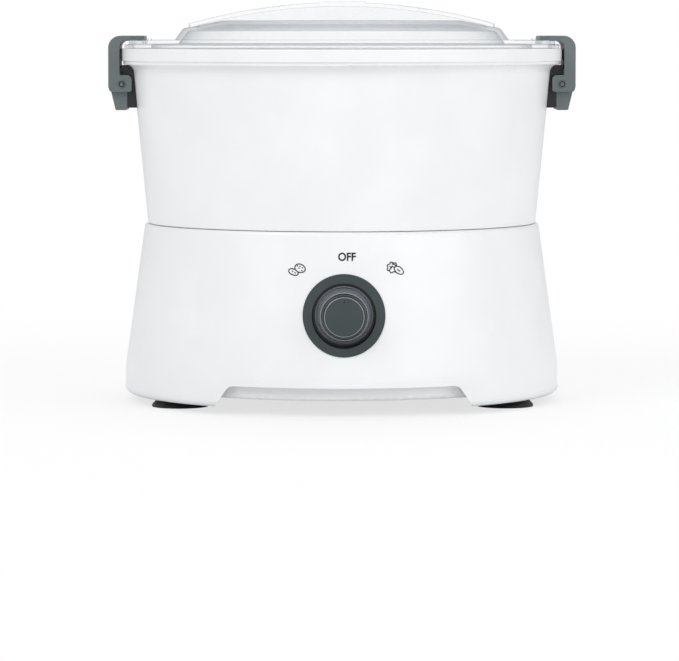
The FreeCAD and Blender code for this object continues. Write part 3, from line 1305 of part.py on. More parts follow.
def motor_magnets():
    """Two curved magnets inside the can."""
    outer = MOTOR_RADIUS - MOTOR_WALL - SEAT_GAP
    magnets = []
    for middle in (0, 180):
        arc = Part.makeCylinder(outer, MAGNET_TOP - MAGNET_BOTTOM, ORIGIN, AXIS_Z, 2 * MAGNET_HALF_ANGLE)
        arc = arc.cut(bore(outer - MAGNET_THICKNESS))
        arc.rotate(ORIGIN, AXIS_Z, middle - MAGNET_HALF_ANGLE)
        arc.translate(V(0, MOTOR_Y, MAGNET_BOTTOM))
        magnets.append(arc)
    return Part.makeCompound(magnets)


def rotor_radius():
    """Outside of the rotor's iron, an air gap inside the magnets."""
    return MOTOR_RADIUS - MOTOR_WALL - SEAT_GAP - MAGNET_THICKNESS - AIR_GAP


def rotor_core():
    """Slotted iron core of the rotor."""
    core = rod(rotor_radius(), MAGNET_BOTTOM, MAGNET_TOP)
    cuts = [bore(MOTOR_SHAFT_RADIUS)]
    half = ROTOR_SLOT_WIDTH / 2
    for i in range(ROTOR_SLOTS):
        floor = rotor_radius() - ROTOR_SLOT_DEPTH
        slot = block(floor, MOTOR_RADIUS, -half, half, MAGNET_BOTTOM - LAP, MAGNET_TOP + LAP)
        slot.rotate(ORIGIN, AXIS_Z, 360 * i / ROTOR_SLOTS)
        cuts.append(slot)
    core = core.cut(cuts)
    core.translate(V(0, MOTOR_Y, 0))
    return core


def rotor_winding():
    """Copper winding: a bundle in each slot and a ring at each end of the core."""
    ends = [ring(WINDING_RADIUS, WINDING_BORE, MAGNET_BOTTOM - WINDING_HEIGHT, MAGNET_BOTTOM)]
    ends.append(ring(WINDING_RADIUS, WINDING_BORE, MAGNET_TOP, MAGNET_TOP + WINDING_HEIGHT))
    floor = rotor_radius() - ROTOR_SLOT_DEPTH + SEAT_GAP
    half = ROTOR_SLOT_WIDTH / 2 - SEAT_GAP
    for i in range(ROTOR_SLOTS):
        bundle = block(floor, WINDING_RADIUS - LAP, -half, half, MAGNET_BOTTOM - LAP, MAGNET_TOP + LAP)
        bundle.rotate(ORIGIN, AXIS_Z, 360 * i / ROTOR_SLOTS)
        ends.append(bundle)
    winding = fused(ends)
    winding.translate(V(0, MOTOR_Y, 0))
    return winding


def commutator_bottom():
    """Lower end of the commutator, just above the end cap."""
    return MOTOR_BOTTOM + MOTOR_END_CAP + 2 * BODY_GAP


def commutator():
    """Copper commutator under the winding."""
    low = commutator_bottom()
    return ring(COMMUTATOR_RADIUS, MOTOR_SHAFT_RADIUS, low, low + COMMUTATOR_HEIGHT, 0, MOTOR_Y)


def motor_brushes():
    """Two carbon brushes on the end cap, one on each side of the commutator."""
    low = MOTOR_BOTTOM + MOTOR_END_CAP
    start = COMMUTATOR_RADIUS + BODY_GAP
    half = BRUSH_WIDTH / 2
    right = block(start, start + BRUSH_LENGTH, MOTOR_Y - half, MOTOR_Y + half, low, low + BRUSH_HEIGHT)
    return Part.makeCompound([mirrored_x(right), right])


def rotor_shaft():
    """Steel shaft of the rotor."""
    top = FIRST_GEAR_TOP + 2 * PINION_OVERHANG
    return rod(MOTOR_SHAFT_RADIUS, MOTOR_BOTTOM - MOTOR_CAP_BOSS + BODY_GAP, top, 0, MOTOR_Y)


def cooling_fan():
    """Fan on the rotor above the winding."""
    low = MAGNET_TOP + WINDING_HEIGHT + 2 * BODY_GAP
    blades = [rod(FAN_HUB, low, low + FAN_HEIGHT), rod(FAN_RADIUS, low, low + FAN_DISC)]
    half = FAN_BLADE / 2
    for i in range(FAN_BLADES):
        blade = block(FAN_HUB - LAP, FAN_RADIUS - LAP, -half, half, low, low + FAN_HEIGHT)
        blade.rotate(ORIGIN, AXIS_Z, 360 * i / FAN_BLADES)
        blades.append(blade)
    fan = fused(blades).cut(bore(MOTOR_SHAFT_RADIUS))
    fan.translate(V(0, MOTOR_Y, 0))
    return fan


def bowl_radius(z):
    """Radius of the bowl's tapering outside at a height."""
    return BOWL_BOTTOM_RADIUS + (z - BOWL_BOTTOM) * math.tan(math.radians(BOWL_TAPER))


def bowl_outside(offset):
    """Corners of the bowl's outside from its foot to its rim, grown by an offset."""
    return [
        (BOWL_BOTTOM_RADIUS + offset, BOWL_BOTTOM, BOWL_EDGE),
        (bowl_radius(RIM_UNDERSIDE) + offset, RIM_UNDERSIDE - offset, COVE_RADIUS),
        (RIM_STEP_RADIUS + offset, RIM_UNDERSIDE - offset, BOWL_EDGE),
        (RIM_STEP_RADIUS + offset, RIM_STEP - offset, 0),
        (RIM_RADIUS + offset, RIM_STEP - offset, BOWL_EDGE),
        (RIM_RADIUS + offset, BOWL_TOP, BOWL_EDGE),
    ]


def bowl_envelope(offset):
    """Everything inside the bowl's outer surface, grown by an offset."""
    return turned([(0, BOWL_BOTTOM, 0)] + bowl_outside(offset) + [(0, BOWL_TOP, 0)])


def wall_ribs():
    """Upright ribs on the inside of the bowl's wall that turn the potatoes."""
    low_radius = bowl_radius(WALL_RIB_BOTTOM) - BOWL_WALL + WALL_RIB_INSET
    high_radius = bowl_radius(WALL_RIB_TOP) - BOWL_WALL + WALL_RIB_INSET
    foot = V(low_radius, 0, WALL_RIB_BOTTOM)
    along = V(high_radius, 0, WALL_RIB_TOP).sub(foot)
    ribs = []
    for i in range(WALL_RIB_COUNT):
        rib = Part.makeCylinder(WALL_RIB_RADIUS, along.Length, foot, along)
        rib.rotate(ORIGIN, AXIS_Z, 360 * (i + 0.5) / WALL_RIB_COUNT)
        ribs.append(rib)
    return ribs


def peeling_bowl():
    """Bowl with its rim band, tongue groove, wall ribs, floor, hub and sockets for the deck's pegs."""
    floor_top = BOWL_FLOOR_BOTTOM + BOWL_FLOOR_WALL
    foot_inner = BOWL_BOTTOM_RADIUS - BOWL_FOOT_WALL
    hub_under = HUB_TOP - HUB_WALL
    section = bowl_outside(0) + [
        (GROOVE_OUTER_RADIUS, BOWL_TOP, GROOVE_EDGE),
        (GROOVE_OUTER_RADIUS, BOWL_TOP - GROOVE_DEPTH, 0),
        (GROOVE_INNER_RADIUS, BOWL_TOP - GROOVE_DEPTH, 0),
        (GROOVE_INNER_RADIUS, BOWL_TOP, GROOVE_EDGE),
        (MOUTH_RADIUS, BOWL_TOP, BOWL_EDGE),
        (MOUTH_RADIUS, BOWL_TOP - MOUTH_DEPTH, 0),
        (bowl_radius(floor_top) - BOWL_WALL, floor_top, BOWL_FILLET),
        (HUB_FOOT_RADIUS, floor_top, HUB_FILLET),
        (HUB_RADIUS, HUB_TOP, HUB_FILLET),
        (HUB_TUBE_RADIUS, HUB_TOP, BOWL_EDGE),
        (HUB_TUBE_RADIUS, HUB_TUBE_TOP, BOWL_EDGE),
        (BUSH_RADIUS + SEAT_GAP, HUB_TUBE_TOP, 0),
        (BUSH_RADIUS + SEAT_GAP, hub_under, 0),
        (HUB_RADIUS - HUB_WALL, hub_under, BOWL_EDGE),
        (HUB_RADIUS - HUB_WALL, BOWL_FLOOR_BOTTOM, 0),
        (foot_inner, BOWL_FLOOR_BOTTOM, 0),
        (foot_inner, BOWL_BOTTOM, 0),
    ]
    bowl = turned(section)
    outside = bowl_envelope(0)
    added = [rib.common(outside) for rib in wall_ribs()]
    inner = PEG_RADIUS + 2 * BODY_GAP
    low = BOWL_BOTTOM + PEG_SOCKET_LIFT
    for x, y in peg_places():
        added.append(ring(inner + PEG_SOCKET_WALL, inner, low, BOWL_FLOOR_BOTTOM + LAP, x, y))
    hole_floor = bowl_radius(BRACKET_SCREW_Z) - BRACKET_SCREW_DEPTH - 2 * SEAT_GAP
    holes = bracket_screw_rods(SCREW_RADIUS + SEAT_GAP, hole_floor, THROUGH)
    holes += [mirrored_x(hole) for hole in holes]
    return bowl.multiFuse(added).cut(holes).removeSplitter()


def spindle_bush():
    """Flanged bush in the bowl's hub."""
    inner = SPINDLE_RADIUS + RUNNING
    hub_under = HUB_TOP - HUB_WALL
    sleeve = ring(BUSH_RADIUS, inner, hub_under, HUB_TUBE_TOP - SPINDLE_SEAL_HEIGHT)
    return sleeve.fuse(ring(BUSH_FLANGE_RADIUS, inner, hub_under - BUSH_FLANGE, hub_under)).removeSplitter()


def spindle_seal():
    """Lip seal above the bush."""
    return ring(BUSH_RADIUS, SPINDLE_RADIUS + RUNNING, HUB_TUBE_TOP - SPINDLE_SEAL_HEIGHT, HUB_TUBE_TOP)


def spindle_shoulder():
    """Top of the spindle's socket, just under the bush."""
    return HUB_TOP - HUB_WALL - BUSH_FLANGE - BODY_GAP


def spindle_clip_bottom():
    """Underside of the spindle's retaining ring, just above the hub."""
    return HUB_TUBE_TOP + BODY_GAP


def disc_seat():
    """Height at which the disc's boss sits on the spindle."""
    return spindle_clip_bottom() + SPINDLE_CLIP_THICKNESS


def drive_spindle():
    """Spindle with a hexagon socket below and a square drive for the disc above."""
    bell = rod(SOCKET_RADIUS, SOCKET_BOTTOM, spindle_shoulder())
    stem = rod(SPINDLE_RADIUS, spindle_shoulder() - LAP, disc_seat())
    square = polygon_prism(4, DISC_DRIVE_FLATS, disc_seat() - LAP, disc_seat() + DISC_DRIVE_HEIGHT)
    square = square.common(bore(SPINDLE_RADIUS))
    socket = polygon_prism(6, DOG_FLATS + 2 * DOG_CLEARANCE, SOCKET_BOTTOM - LAP, DOG_TOP + SOCKET_ROOM)
    low = spindle_clip_bottom()
    groove = ring(SPINDLE_RADIUS + LAP, SPINDLE_RADIUS - CLIP_GROOVE, low, low + SPINDLE_CLIP_THICKNESS)
    return bell.multiFuse([stem, square]).cut([socket, groove])


def spindle_clip():
    """Retaining ring of the spindle above the hub, which also carries the disc."""
    low = spindle_clip_bottom()
    return ring(SPINDLE_CLIP_RADIUS, SPINDLE_RADIUS - CLIP_GROOVE, low, low + SPINDLE_CLIP_THICKNESS)


def disc_boss_top():
    """Top of the disc's boss over the square drive."""
    return disc_seat() + BODY_GAP + DISC_DRIVE_HEIGHT + DISC_BOSS_WALL


def peeling_disc():
    """Disc that throws the potatoes outwards, with a hollow hub over the bowl's own."""
    top = DISC_BOTTOM + DISC_WALL
    foot_inner = HUB_FOOT_RADIUS + DISC_HUB_CLEARANCE
    head_inner = HUB_RADIUS + DISC_HUB_CLEARANCE
    seat = disc_seat() + BODY_GAP
    hub_wall = DISC_HUB_WALL
    disc = turned([
        (0, seat, 0),
        (DISC_BOSS_RADIUS, seat, 0),
        (head_inner, seat, DISC_BEND),
        (foot_inner, DISC_BOTTOM, 0),
        (DISC_RADIUS, DISC_BOTTOM, DISC_BEND),
        (DISC_RIM_RADIUS, DISC_RIM_TOP, DISC_EDGE),
        (DISC_RIM_RADIUS - hub_wall, DISC_RIM_TOP, DISC_EDGE),
        (DISC_RADIUS - hub_wall, top, DISC_BEND / 2),
        (foot_inner + hub_wall, top, DISC_BEND),
        (head_inner + hub_wall, seat + hub_wall, 2 * DISC_BEND),
        (DISC_BOSS_RADIUS, seat + hub_wall, DISC_EDGE),
        (DISC_BOSS_RADIUS, disc_boss_top(), 0),
        (0, disc_boss_top(), 0),
    ])
    flats = DISC_DRIVE_FLATS + 2 * SLIDING
    square = polygon_prism(4, flats, seat - LAP, seat + DISC_DRIVE_HEIGHT)
    return disc.cut(square.common(bore(SPINDLE_RADIUS + SLIDING)))


def disc_grit():
    """Abrasive layer on the disc with its raised waves."""
    low = DISC_BOTTOM + DISC_WALL
    top = low + GRIT_THICKNESS
    layer = ring(GRIT_OUTER_RADIUS, GRIT_INNER_RADIUS, low, top)
    zone = ring(GRIT_OUTER_RADIUS - LAP, GRIT_INNER_RADIUS + LAP, low, top + WAVE_HEIGHT + LAP)
    half = WAVE_WIDTH / 2
    waves = [layer]
    for i in range(WAVE_COUNT):
        section = [(-half, low, 0), (half, low, 0), (half, top, 0)]
        section += [(0, top + WAVE_HEIGHT, WAVE_ROUND), (-half, top, 0)]
        wave = side_prism(section, GRIT_INNER_RADIUS, GRIT_OUTER_RADIUS).common(zone)
        wave.rotate(ORIGIN, AXIS_Z, 360 * i / WAVE_COUNT + WAVE_TURN)
        waves.append(wave)
    return fused(waves)


def disc_knob():
    """Grip on the disc's boss for lifting the disc out."""
    low = disc_seat() + BODY_GAP + DISC_HUB_WALL + DISC_KNOB_FOOT_GAP
    top = disc_boss_top() + DISC_KNOB_ABOVE_BOSS
    grip = turned([
        (0, low, 0),
        (DISC_KNOB_FOOT_RADIUS, low, DISC_EDGE),
        (DISC_KNOB_RADIUS, top - DISC_KNOB_ROUND, DISC_KNOB_ROUND),
        (DISC_KNOB_RADIUS, top, DISC_KNOB_ROUND),
        (0, top, 0),
    ])
    return grip.cut(rod(DISC_BOSS_RADIUS + SEAT_GAP, 0, disc_boss_top()))


def arch_prism(half_width, radius, low, rounding):
    """Handle arch drawn out across the lid, with its long top edges rounded."""
    centre_z = ARCH_TOP - ARCH_RADIUS
    half_span = math.sqrt(radius**2 - (low - centre_z) ** 2)
    left = V(-half_span, -half_width, low)
    right = V(half_span, -half_width, low)
    crown = V(0, -half_width, centre_z + radius)
    edges = [Part.Arc(left, crown, right).toShape(), Part.LineSegment(right, left).toShape()]
    solid = Part.Face(Part.Wire(edges)).extrude(V(0, 2 * half_width, 0))
    at_top = crown.z - SEAT_GAP
    top_edges = [e for e in solid.Edges if e.BoundBox.ZMax > at_top and e.BoundBox.YLength < SEAT_GAP]
    return solid.makeFillet(rounding, top_edges)


def latch_rooms(z0, z1, x0, x1):
    """Blocks in the lid's edge at both latches."""
    half = CLIP_HALF_WIDTH + LATCH_NOTCH_SIDE
    right = block(x0, x1, -half, half, z0, z1)
    return [right, mirrored_x(right)]


def grip_ribs():
    """Five upright grip ribs with round tops on each face of the arch."""
    ribs = []
    half = GRIP_WIDTH / 2
    for i in range(GRIP_COUNT):
        x = (i - (GRIP_COUNT - 1) / 2) * GRIP_PITCH
        section = [(x - half, GRIP_BOTTOM, 0), (x + half, GRIP_BOTTOM, 0)]
        section += [(x + half, GRIP_TOP, GRIP_ROUND), (x - half, GRIP_TOP, GRIP_ROUND)]
        for side in (-1, 1):
            inner = side * (ARCH_HALF_WIDTH - ARCH_WALL / 2)
            outer = side * (ARCH_HALF_WIDTH + GRIP_PROUD)
            ribs.append(side_prism(section, min(inner, outer), max(inner, outer)))
    return ribs


def lid():
    """Clear lid: stepped flange, raised middle, tongue, plug ring and the hollow handle arch."""
    plug_bottom = LID_BOTTOM - PLUG_DEPTH
    tongue_outer = GROOVE_OUTER_RADIUS - TONGUE_CLEARANCE
    tongue_inner = GROOVE_INNER_RADIUS + TONGUE_CLEARANCE
    tongue_bottom = BOWL_TOP - GROOVE_DEPTH + 2 * BODY_GAP
    plug_inner = PLUG_RADIUS - PLUG_WALL
    gasket_low = plug_bottom + GASKET_LOW
    groove_radius = GASKET_RADIUS - GASKET_WIDTH
    outer = turned([
        (0, LID_BOTTOM, 0),
        (LID_RADIUS, LID_BOTTOM, 0),
        (LID_RADIUS, LID_FLANGE_TOP, LID_EDGE),
        (LID_STEP_RADIUS, LID_FLANGE_TOP, 0),
        (LID_STEP_RADIUS, LID_TOP, LID_EDGE),
        (PLATEAU_FOOT_RADIUS, LID_TOP, PLATEAU_FOOT_ROUND),
        (PLATEAU_RADIUS, PLATEAU_HEIGHT, PLATEAU_SHOULDER),
        (PLATEAU_RADIUS - PLATEAU_EDGE, PLATEAU_HEIGHT, 0),
        (DOME_RADIUS, DOME_HEIGHT, DOME_ROUND),
        (0, DOME_HEIGHT, 0),
    ])
    skirts = [ring(tongue_outer, tongue_inner, tongue_bottom, LID_BOTTOM + LAP)]
    skirts.append(ring(PLUG_RADIUS, plug_inner, plug_bottom, LID_BOTTOM + LAP))
    arch = arch_prism(ARCH_HALF_WIDTH, ARCH_RADIUS, LID_TOP, ARCH_ROUND)
    arch = arch.common(bore(PLATEAU_RADIUS - ARCH_INSET))
    bump_half = ARCH_HALF_WIDTH - ARCH_BUMP_INSET
    bump = arch_prism(bump_half, ARCH_RADIUS + ARCH_BUMP_HEIGHT, LID_TOP, ARCH_BUMP_ROUND)
    bump = bump.common(block(-ARCH_BUMP_HALF, ARCH_BUMP_HALF, -THROUGH, THROUGH, 0, THROUGH))
    body = outer.multiFuse(skirts + [arch, bump] + grip_ribs())

    under = LID_BOTTOM - LAP
    hollow_radius = plug_inner - PLUG_LEDGE
    hollow = turned([
        (0, under, 0),
        (hollow_radius, under, 0),
        (hollow_radius, LID_TOP - LID_WALL, 0),
        (PLATEAU_FOOT_RADIUS - LID_WALL, LID_TOP - LID_WALL, PLATEAU_FOOT_ROUND),
        (PLATEAU_RADIUS - LID_WALL, PLATEAU_HEIGHT - LID_WALL, PLATEAU_SHOULDER - LID_WALL),
        (DOME_RADIUS, DOME_HEIGHT - LID_WALL, DOME_ROUND),
        (0, DOME_HEIGHT - LID_WALL, 0),
    ])
    inner_round = ARCH_ROUND - ARCH_WALL / 2
    arch_inner = arch_prism(ARCH_HALF_WIDTH - ARCH_WALL, ARCH_RADIUS - ARCH_WALL, LID_TOP, inner_round)
    cuts = [hollow, arch_inner.common(bore(PLATEAU_RADIUS - ARCH_HOLLOW_INSET))]
    cuts.append(ring(PLUG_RADIUS + LAP, groove_radius, gasket_low, gasket_low + GASKET_HEIGHT))
    cuts += latch_rooms(plug_bottom + LAP, THROUGH, LATCH_NOTCH_X, THROUGH)
    cuts += latch_rooms(LATCH_SHELF_TOP, THROUGH, LATCH_SHELF_X, LATCH_NOTCH_X + LAP)
    body = body.cut(cuts)

    half = CLIP_HALF_WIDTH - LATCH_BEAD_INSET
    bead_end = HOOK_END_X + LATCH_BEAD_WIDTH
    bead = block(HOOK_END_X, bead_end, -half, half, LATCH_SHELF_TOP - LAP, HOOK_BOTTOM - BODY_GAP)
    nib_end = STOP_NIB_X + STOP_NIB_WIDTH
    nib_top = LID_TOP + STOP_NIB_HEIGHT
    nib = block(STOP_NIB_X, nib_end, -STOP_NIB_HALF, STOP_NIB_HALF, LID_TOP - LAP, nib_top)
    return body.multiFuse([bead, mirrored_x(bead), nib, mirrored_x(nib)]).removeSplitter()


def lid_gasket():
    """Sealing ring in the groove of the lid's plug."""
    low = LID_BOTTOM - PLUG_DEPTH + GASKET_LOW
    inner = GASKET_RADIUS - GASKET_WIDTH
    return ring(GASKET_RADIUS, inner + SEAT_GAP, low + SEAT_GAP, low + GASKET_HEIGHT - SEAT_GAP)


def latch():
    """Right-hand clip: hook and arm over the full width, cheeks on the pin at both sides."""
    arm = side_prism([
        (HOOK_END_X, HOOK_BOTTOM, HOOK_EDGE),
        (CLIP_INNER_X, HOOK_BOTTOM, CLIP_INNER_ROUND),
        (CLIP_INNER_X, CHEEK_TOP, 0),
        (CLIP_OUTER_X, CHEEK_TOP, 0),
        (CLIP_OUTER_X, HOOK_TOP, CLIP_OUTER_ROUND),
        (HOOK_END_X, HOOK_TOP, HOOK_EDGE),
    ], -CLIP_HALF_WIDTH, CLIP_HALF_WIDTH)
    reach = rod_y(CHEEK_REACH, -CLIP_HALF_WIDTH, CLIP_HALF_WIDTH, PIVOT_X, PIVOT_Z)
    outer = block(PIVOT_X, CLIP_OUTER_X, -CLIP_HALF_WIDTH, CLIP_HALF_WIDTH, CHEEK_BOTTOM, CHEEK_TOP + LAP)
    cheek = side_prism([
        (CHEEK_INNER_X, CHEEK_BOTTOM, CHEEK_FOOT_ROUND),
        (CLIP_OUTER_X - CHEEK_FOOT_INSET, CHEEK_BOTTOM, CHEEK_FOOT_ROUND),
        (CLIP_OUTER_X, CHEEK_BOTTOM + CHEEK_FOOT_RISE, 0),
        (CLIP_OUTER_X, CHEEK_TOP + LAP, 0),
        (CLIP_INNER_X, CHEEK_TOP + LAP, 0),
        (CLIP_INNER_X, CHEEK_TOP, 0),
        (CHEEK_INNER_X, CHEEK_TOP, CHEEK_ROUND),
    ], -CLIP_HALF_WIDTH, CLIP_HALF_WIDTH).common(reach.fuse(outer))
    half = CLIP_HALF_WIDTH - CHEEK_WIDTH
    channel = block(PIVOT_X - BEYOND, CLIP_OUTER_X + LAP, -half, half, CHEEK_BOTTOM - LAP, CHANNEL_TOP)
    return arm.fuse(cheek).cut([channel, bore_y(PIN_RADIUS + RUNNING, PIVOT_X, PIVOT_Z)]).removeSplitter()


def latch_pin():
    """Right-hand pin with a recess in each end."""
    half = CLIP_HALF_WIDTH + PIN_PAST_CHEEK
    pin = rod_y(PIN_RADIUS, -half, half, PIVOT_X, PIVOT_Z)
    front = rod_y(PIN_RECESS_RADIUS, -THROUGH, -half + PIN_RECESS_DEPTH, PIVOT_X, PIVOT_Z)
    rear = rod_y(PIN_RECESS_RADIUS, half - PIN_RECESS_DEPTH, THROUGH, PIVOT_X, PIVOT_Z)
    return pin.cut([front, rear])


def bracket_half_width():
    """Half the width of what stands between the clip's cheeks."""
    return CLIP_HALF_WIDTH - CHEEK_WIDTH - PAD_SIDE_GAP


def bracket_screw_rods(radius, x0, x1):
    """Rods along the two screws of one bracket."""
    return [rod_x(radius, x0, x1, y, BRACKET_SCREW_Z) for y in (-BRACKET_SCREW_Y, BRACKET_SCREW_Y)]


def latch_bracket():
    """Right-hand bracket: knuckle round the pin and the tail below it."""
    half = bracket_half_width()
    body = side_prism([
        (BRACKET_BACK_X, TAIL_BOTTOM, BRACKET_EDGE),
        (TAIL_BOTTOM_X, TAIL_BOTTOM, BRACKET_EDGE),
        (TAIL_TOP_X, TAIL_TOP, BRACKET_EDGE),
        (BRACKET_TOP_X, BRACKET_TOP, BRACKET_ROUND),
        (BRACKET_BACK_X, BRACKET_TOP, 0),
    ], -half, half)
    cuts = [bore_y(PIN_RADIUS + SEAT_GAP, PIVOT_X, PIVOT_Z)]
    cuts += bracket_screw_rods(SCREW_RADIUS + SEAT_GAP, 0, THROUGH)
    cuts += bracket_screw_rods(SCREW_HEAD_RADIUS + SEAT_GAP, BRACKET_SCREW_HEAD_X, THROUGH)
    return body.cut(cuts)


def latch_pad():
    """Right-hand dark pad between the bracket and the bowl, up to the cove under the rim."""
    half = bracket_half_width()
    inner_x = bowl_radius(PAD_BOTTOM) - BOWL_WALL
    back_x = BRACKET_BACK_X - SEAT_GAP
    step = BRACKET_TOP + SEAT_GAP
    body = side_prism([
        (inner_x, PAD_BOTTOM, 0),
        (back_x, PAD_BOTTOM, PAD_EDGE),
        (back_x, step, 0),
        (PAD_NOSE_X, step, 0),
        (PAD_NOSE_X, PAD_TOP, PAD_EDGE),
        (inner_x, PAD_TOP, 0),
    ], -half, half)
    holes = bracket_screw_rods(SCREW_RADIUS + SEAT_GAP, 0, THROUGH)
    return body.cut([bowl_envelope(SEAT_GAP)] + holes)


def bracket_screws():
    """Two screws on each side that hold the brackets on the bowl."""
    inner = bowl_radius(BRACKET_SCREW_Z) - BRACKET_SCREW_DEPTH
    head_x = BRACKET_SCREW_HEAD_X
    shanks = bracket_screw_rods(SCREW_RADIUS, inner, head_x)
    heads = bracket_screw_rods(SCREW_HEAD_RADIUS, head_x, head_x + BRACKET_SCREW_HEAD)
    half_z = SCREW_SLOT_WIDTH / 2
    reach = SCREW_SLOT_LENGTH / 2
    screws = []
    for i, y in enumerate((-BRACKET_SCREW_Y, BRACKET_SCREW_Y)):
        z0 = BRACKET_SCREW_Z - half_z
        z1 = BRACKET_SCREW_Z + half_z
        slot = block(head_x + BRACKET_SCREW_HEAD / 2, THROUGH, y - reach, y + reach, z0, z1)
        screw = shanks[i].fuse(heads[i].cut(slot))
        screws += [screw, mirrored_x(screw)]
    return Part.makeCompound(screws)


def write_part():
    """Writes one STEP file for each sub-part."""
    sub_parts = [
        base_housing, bottom_tray, rubber_feet, case_screws, knob_bezel, rotary_switch, switch_nut,
        knob, knob_cap, knob_shaft, cable_gland, cord_clamp, clamp_screws, control_board, board_parts,
        board_screws, micro_switch, interlock_pin, interlock_spring, motor_can, motor_end_cap,
        motor_bushes, motor_magnets, motor_brushes, motor_screws, rotor_shaft, rotor_core,
        rotor_winding, commutator, cooling_fan, motor_pinion, gear_plate,
        gear_cover, idler_gear, idler_axle, output_gear, output_clip, output_shaft, output_bushes,
        shaft_seal, drive_dog, peeling_bowl, spindle_bush, spindle_seal, drive_spindle, spindle_clip,
        peeling_disc, disc_grit, disc_knob, lid, lid_gasket, bracket_screws,
    ]
    shapes = {make.__name__: make() for make in sub_parts}
    for make in (latch, latch_pin, latch_bracket, latch_pad):
        right = make()
        shapes["right_" + make.__name__] = right
        shapes["left_" + make.__name__] = mirrored_x(right)
    os.makedirs("parts", exist_ok=True)
    for name, shape in shapes.items():
        shape.exportStep(os.path.join("parts", name + ".step"))
        print(name, len(shape.Solids), round(shape.Volume, 1), shape.isValid())


write_part()
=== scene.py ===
"""Looks of the electric potato peeler: finishes, printed marks, knob, abrasive grains and studio."""

from __future__ import annotations

import logging
import math
from dataclasses import dataclass
from enum import Enum
from typing import ClassVar, Iterable, Sequence, Union

import bmesh
import bpy
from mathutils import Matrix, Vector


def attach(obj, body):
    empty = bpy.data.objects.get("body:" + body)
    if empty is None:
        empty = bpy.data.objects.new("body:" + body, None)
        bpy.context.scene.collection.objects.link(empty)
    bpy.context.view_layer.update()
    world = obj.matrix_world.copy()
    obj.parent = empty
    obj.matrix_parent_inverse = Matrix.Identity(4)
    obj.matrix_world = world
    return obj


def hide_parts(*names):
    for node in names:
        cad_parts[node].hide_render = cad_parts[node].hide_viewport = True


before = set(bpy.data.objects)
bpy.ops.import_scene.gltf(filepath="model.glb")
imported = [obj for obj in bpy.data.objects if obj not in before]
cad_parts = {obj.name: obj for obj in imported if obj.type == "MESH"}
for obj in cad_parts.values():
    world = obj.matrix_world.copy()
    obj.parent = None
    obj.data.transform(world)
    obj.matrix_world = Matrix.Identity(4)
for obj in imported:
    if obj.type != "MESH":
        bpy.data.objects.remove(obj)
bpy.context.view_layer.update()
MM = 0.001
WHITE = (1.0, 1.0, 1.0, 1.0)
# Sockets of a Mix node that mixes colours.
MIX_SHARE, MIX_LOW, MIX_HIGH, MIX_RESULT = 0, 6, 7, 2
LOG = logging.getLogger("potato_peeler")

Number = Union["Signal", float]
Colour = tuple[float, float, float]
Point = tuple[float, float]
Inputs = dict[Union[int, str], object]


class Slot(Enum):
    """Material slots of the record."""

    WHITE = "white_plastic"
    TRAY = "tray_plastic"
    GREY = "grey_plastic"
    DARK_GREY = "dark_grey_plastic"
    BLACK = "black_plastic"
    RUBBER = "black_rubber"
    CLEAR = "clear_plastic"
    GASKET = "gasket_rubber"
    STEEL = "steel"
    ZINC = "zinc_steel"
    BRASS = "brass"
    COPPER = "copper"
    MAGNET = "magnet"
    CARBON = "carbon"
    GEAR = "gear_plastic"
    BOARD = "board_green"
    GRIT = "grit"


class Body(Enum):
    """Moving bodies that pieces ride on."""

    BASE = "base"
    KNOB = "control_knob"
    ROTOR = "rotor"
    BOWL = "bowl"
    DISC = "disc"
    LID = "lid_unit"


def linear(code: str) -> Colour:
    """Linear colour of a screen colour.

    Args:
        code: Its six hexadecimal digits.

    Returns:
        The three linear values.
    """

    def channel(value: int) -> float:
        share = value / 255
        return share / 12.92 if share <= 0.04045 else ((share + 0.055) / 1.055) ** 2.4

    red, green, blue = bytes.fromhex(code)
    return channel(red), channel(green), channel(blue)


def add_node(
    tree: bpy.types.NodeTree, kind: str, inputs: Inputs | None = None, **settings: object,
) -> bpy.types.Node:
    """Adds a node to a tree.

    Args:
        tree: The tree.
        kind: Blender's type name of the node.
        inputs: Values, sockets or signals for its inputs, by name or number.
        settings: Properties of the node.

    Returns:
        The node.
    """
    node = tree.nodes.new(kind)
    for key, value in settings.items():
        setattr(node, key, value)
    for key, value in (inputs or {}).items():
        target = node.inputs[key] if isinstance(key, int) else next(
            socket for socket in node.inputs if socket.name == key and socket.enabled)
        value = value.socket if isinstance(value, Signal) else value
        if isinstance(value, bpy.types.NodeSocket):
            tree.links.new(value, target)
        else:
            target.default_value = value
    return node


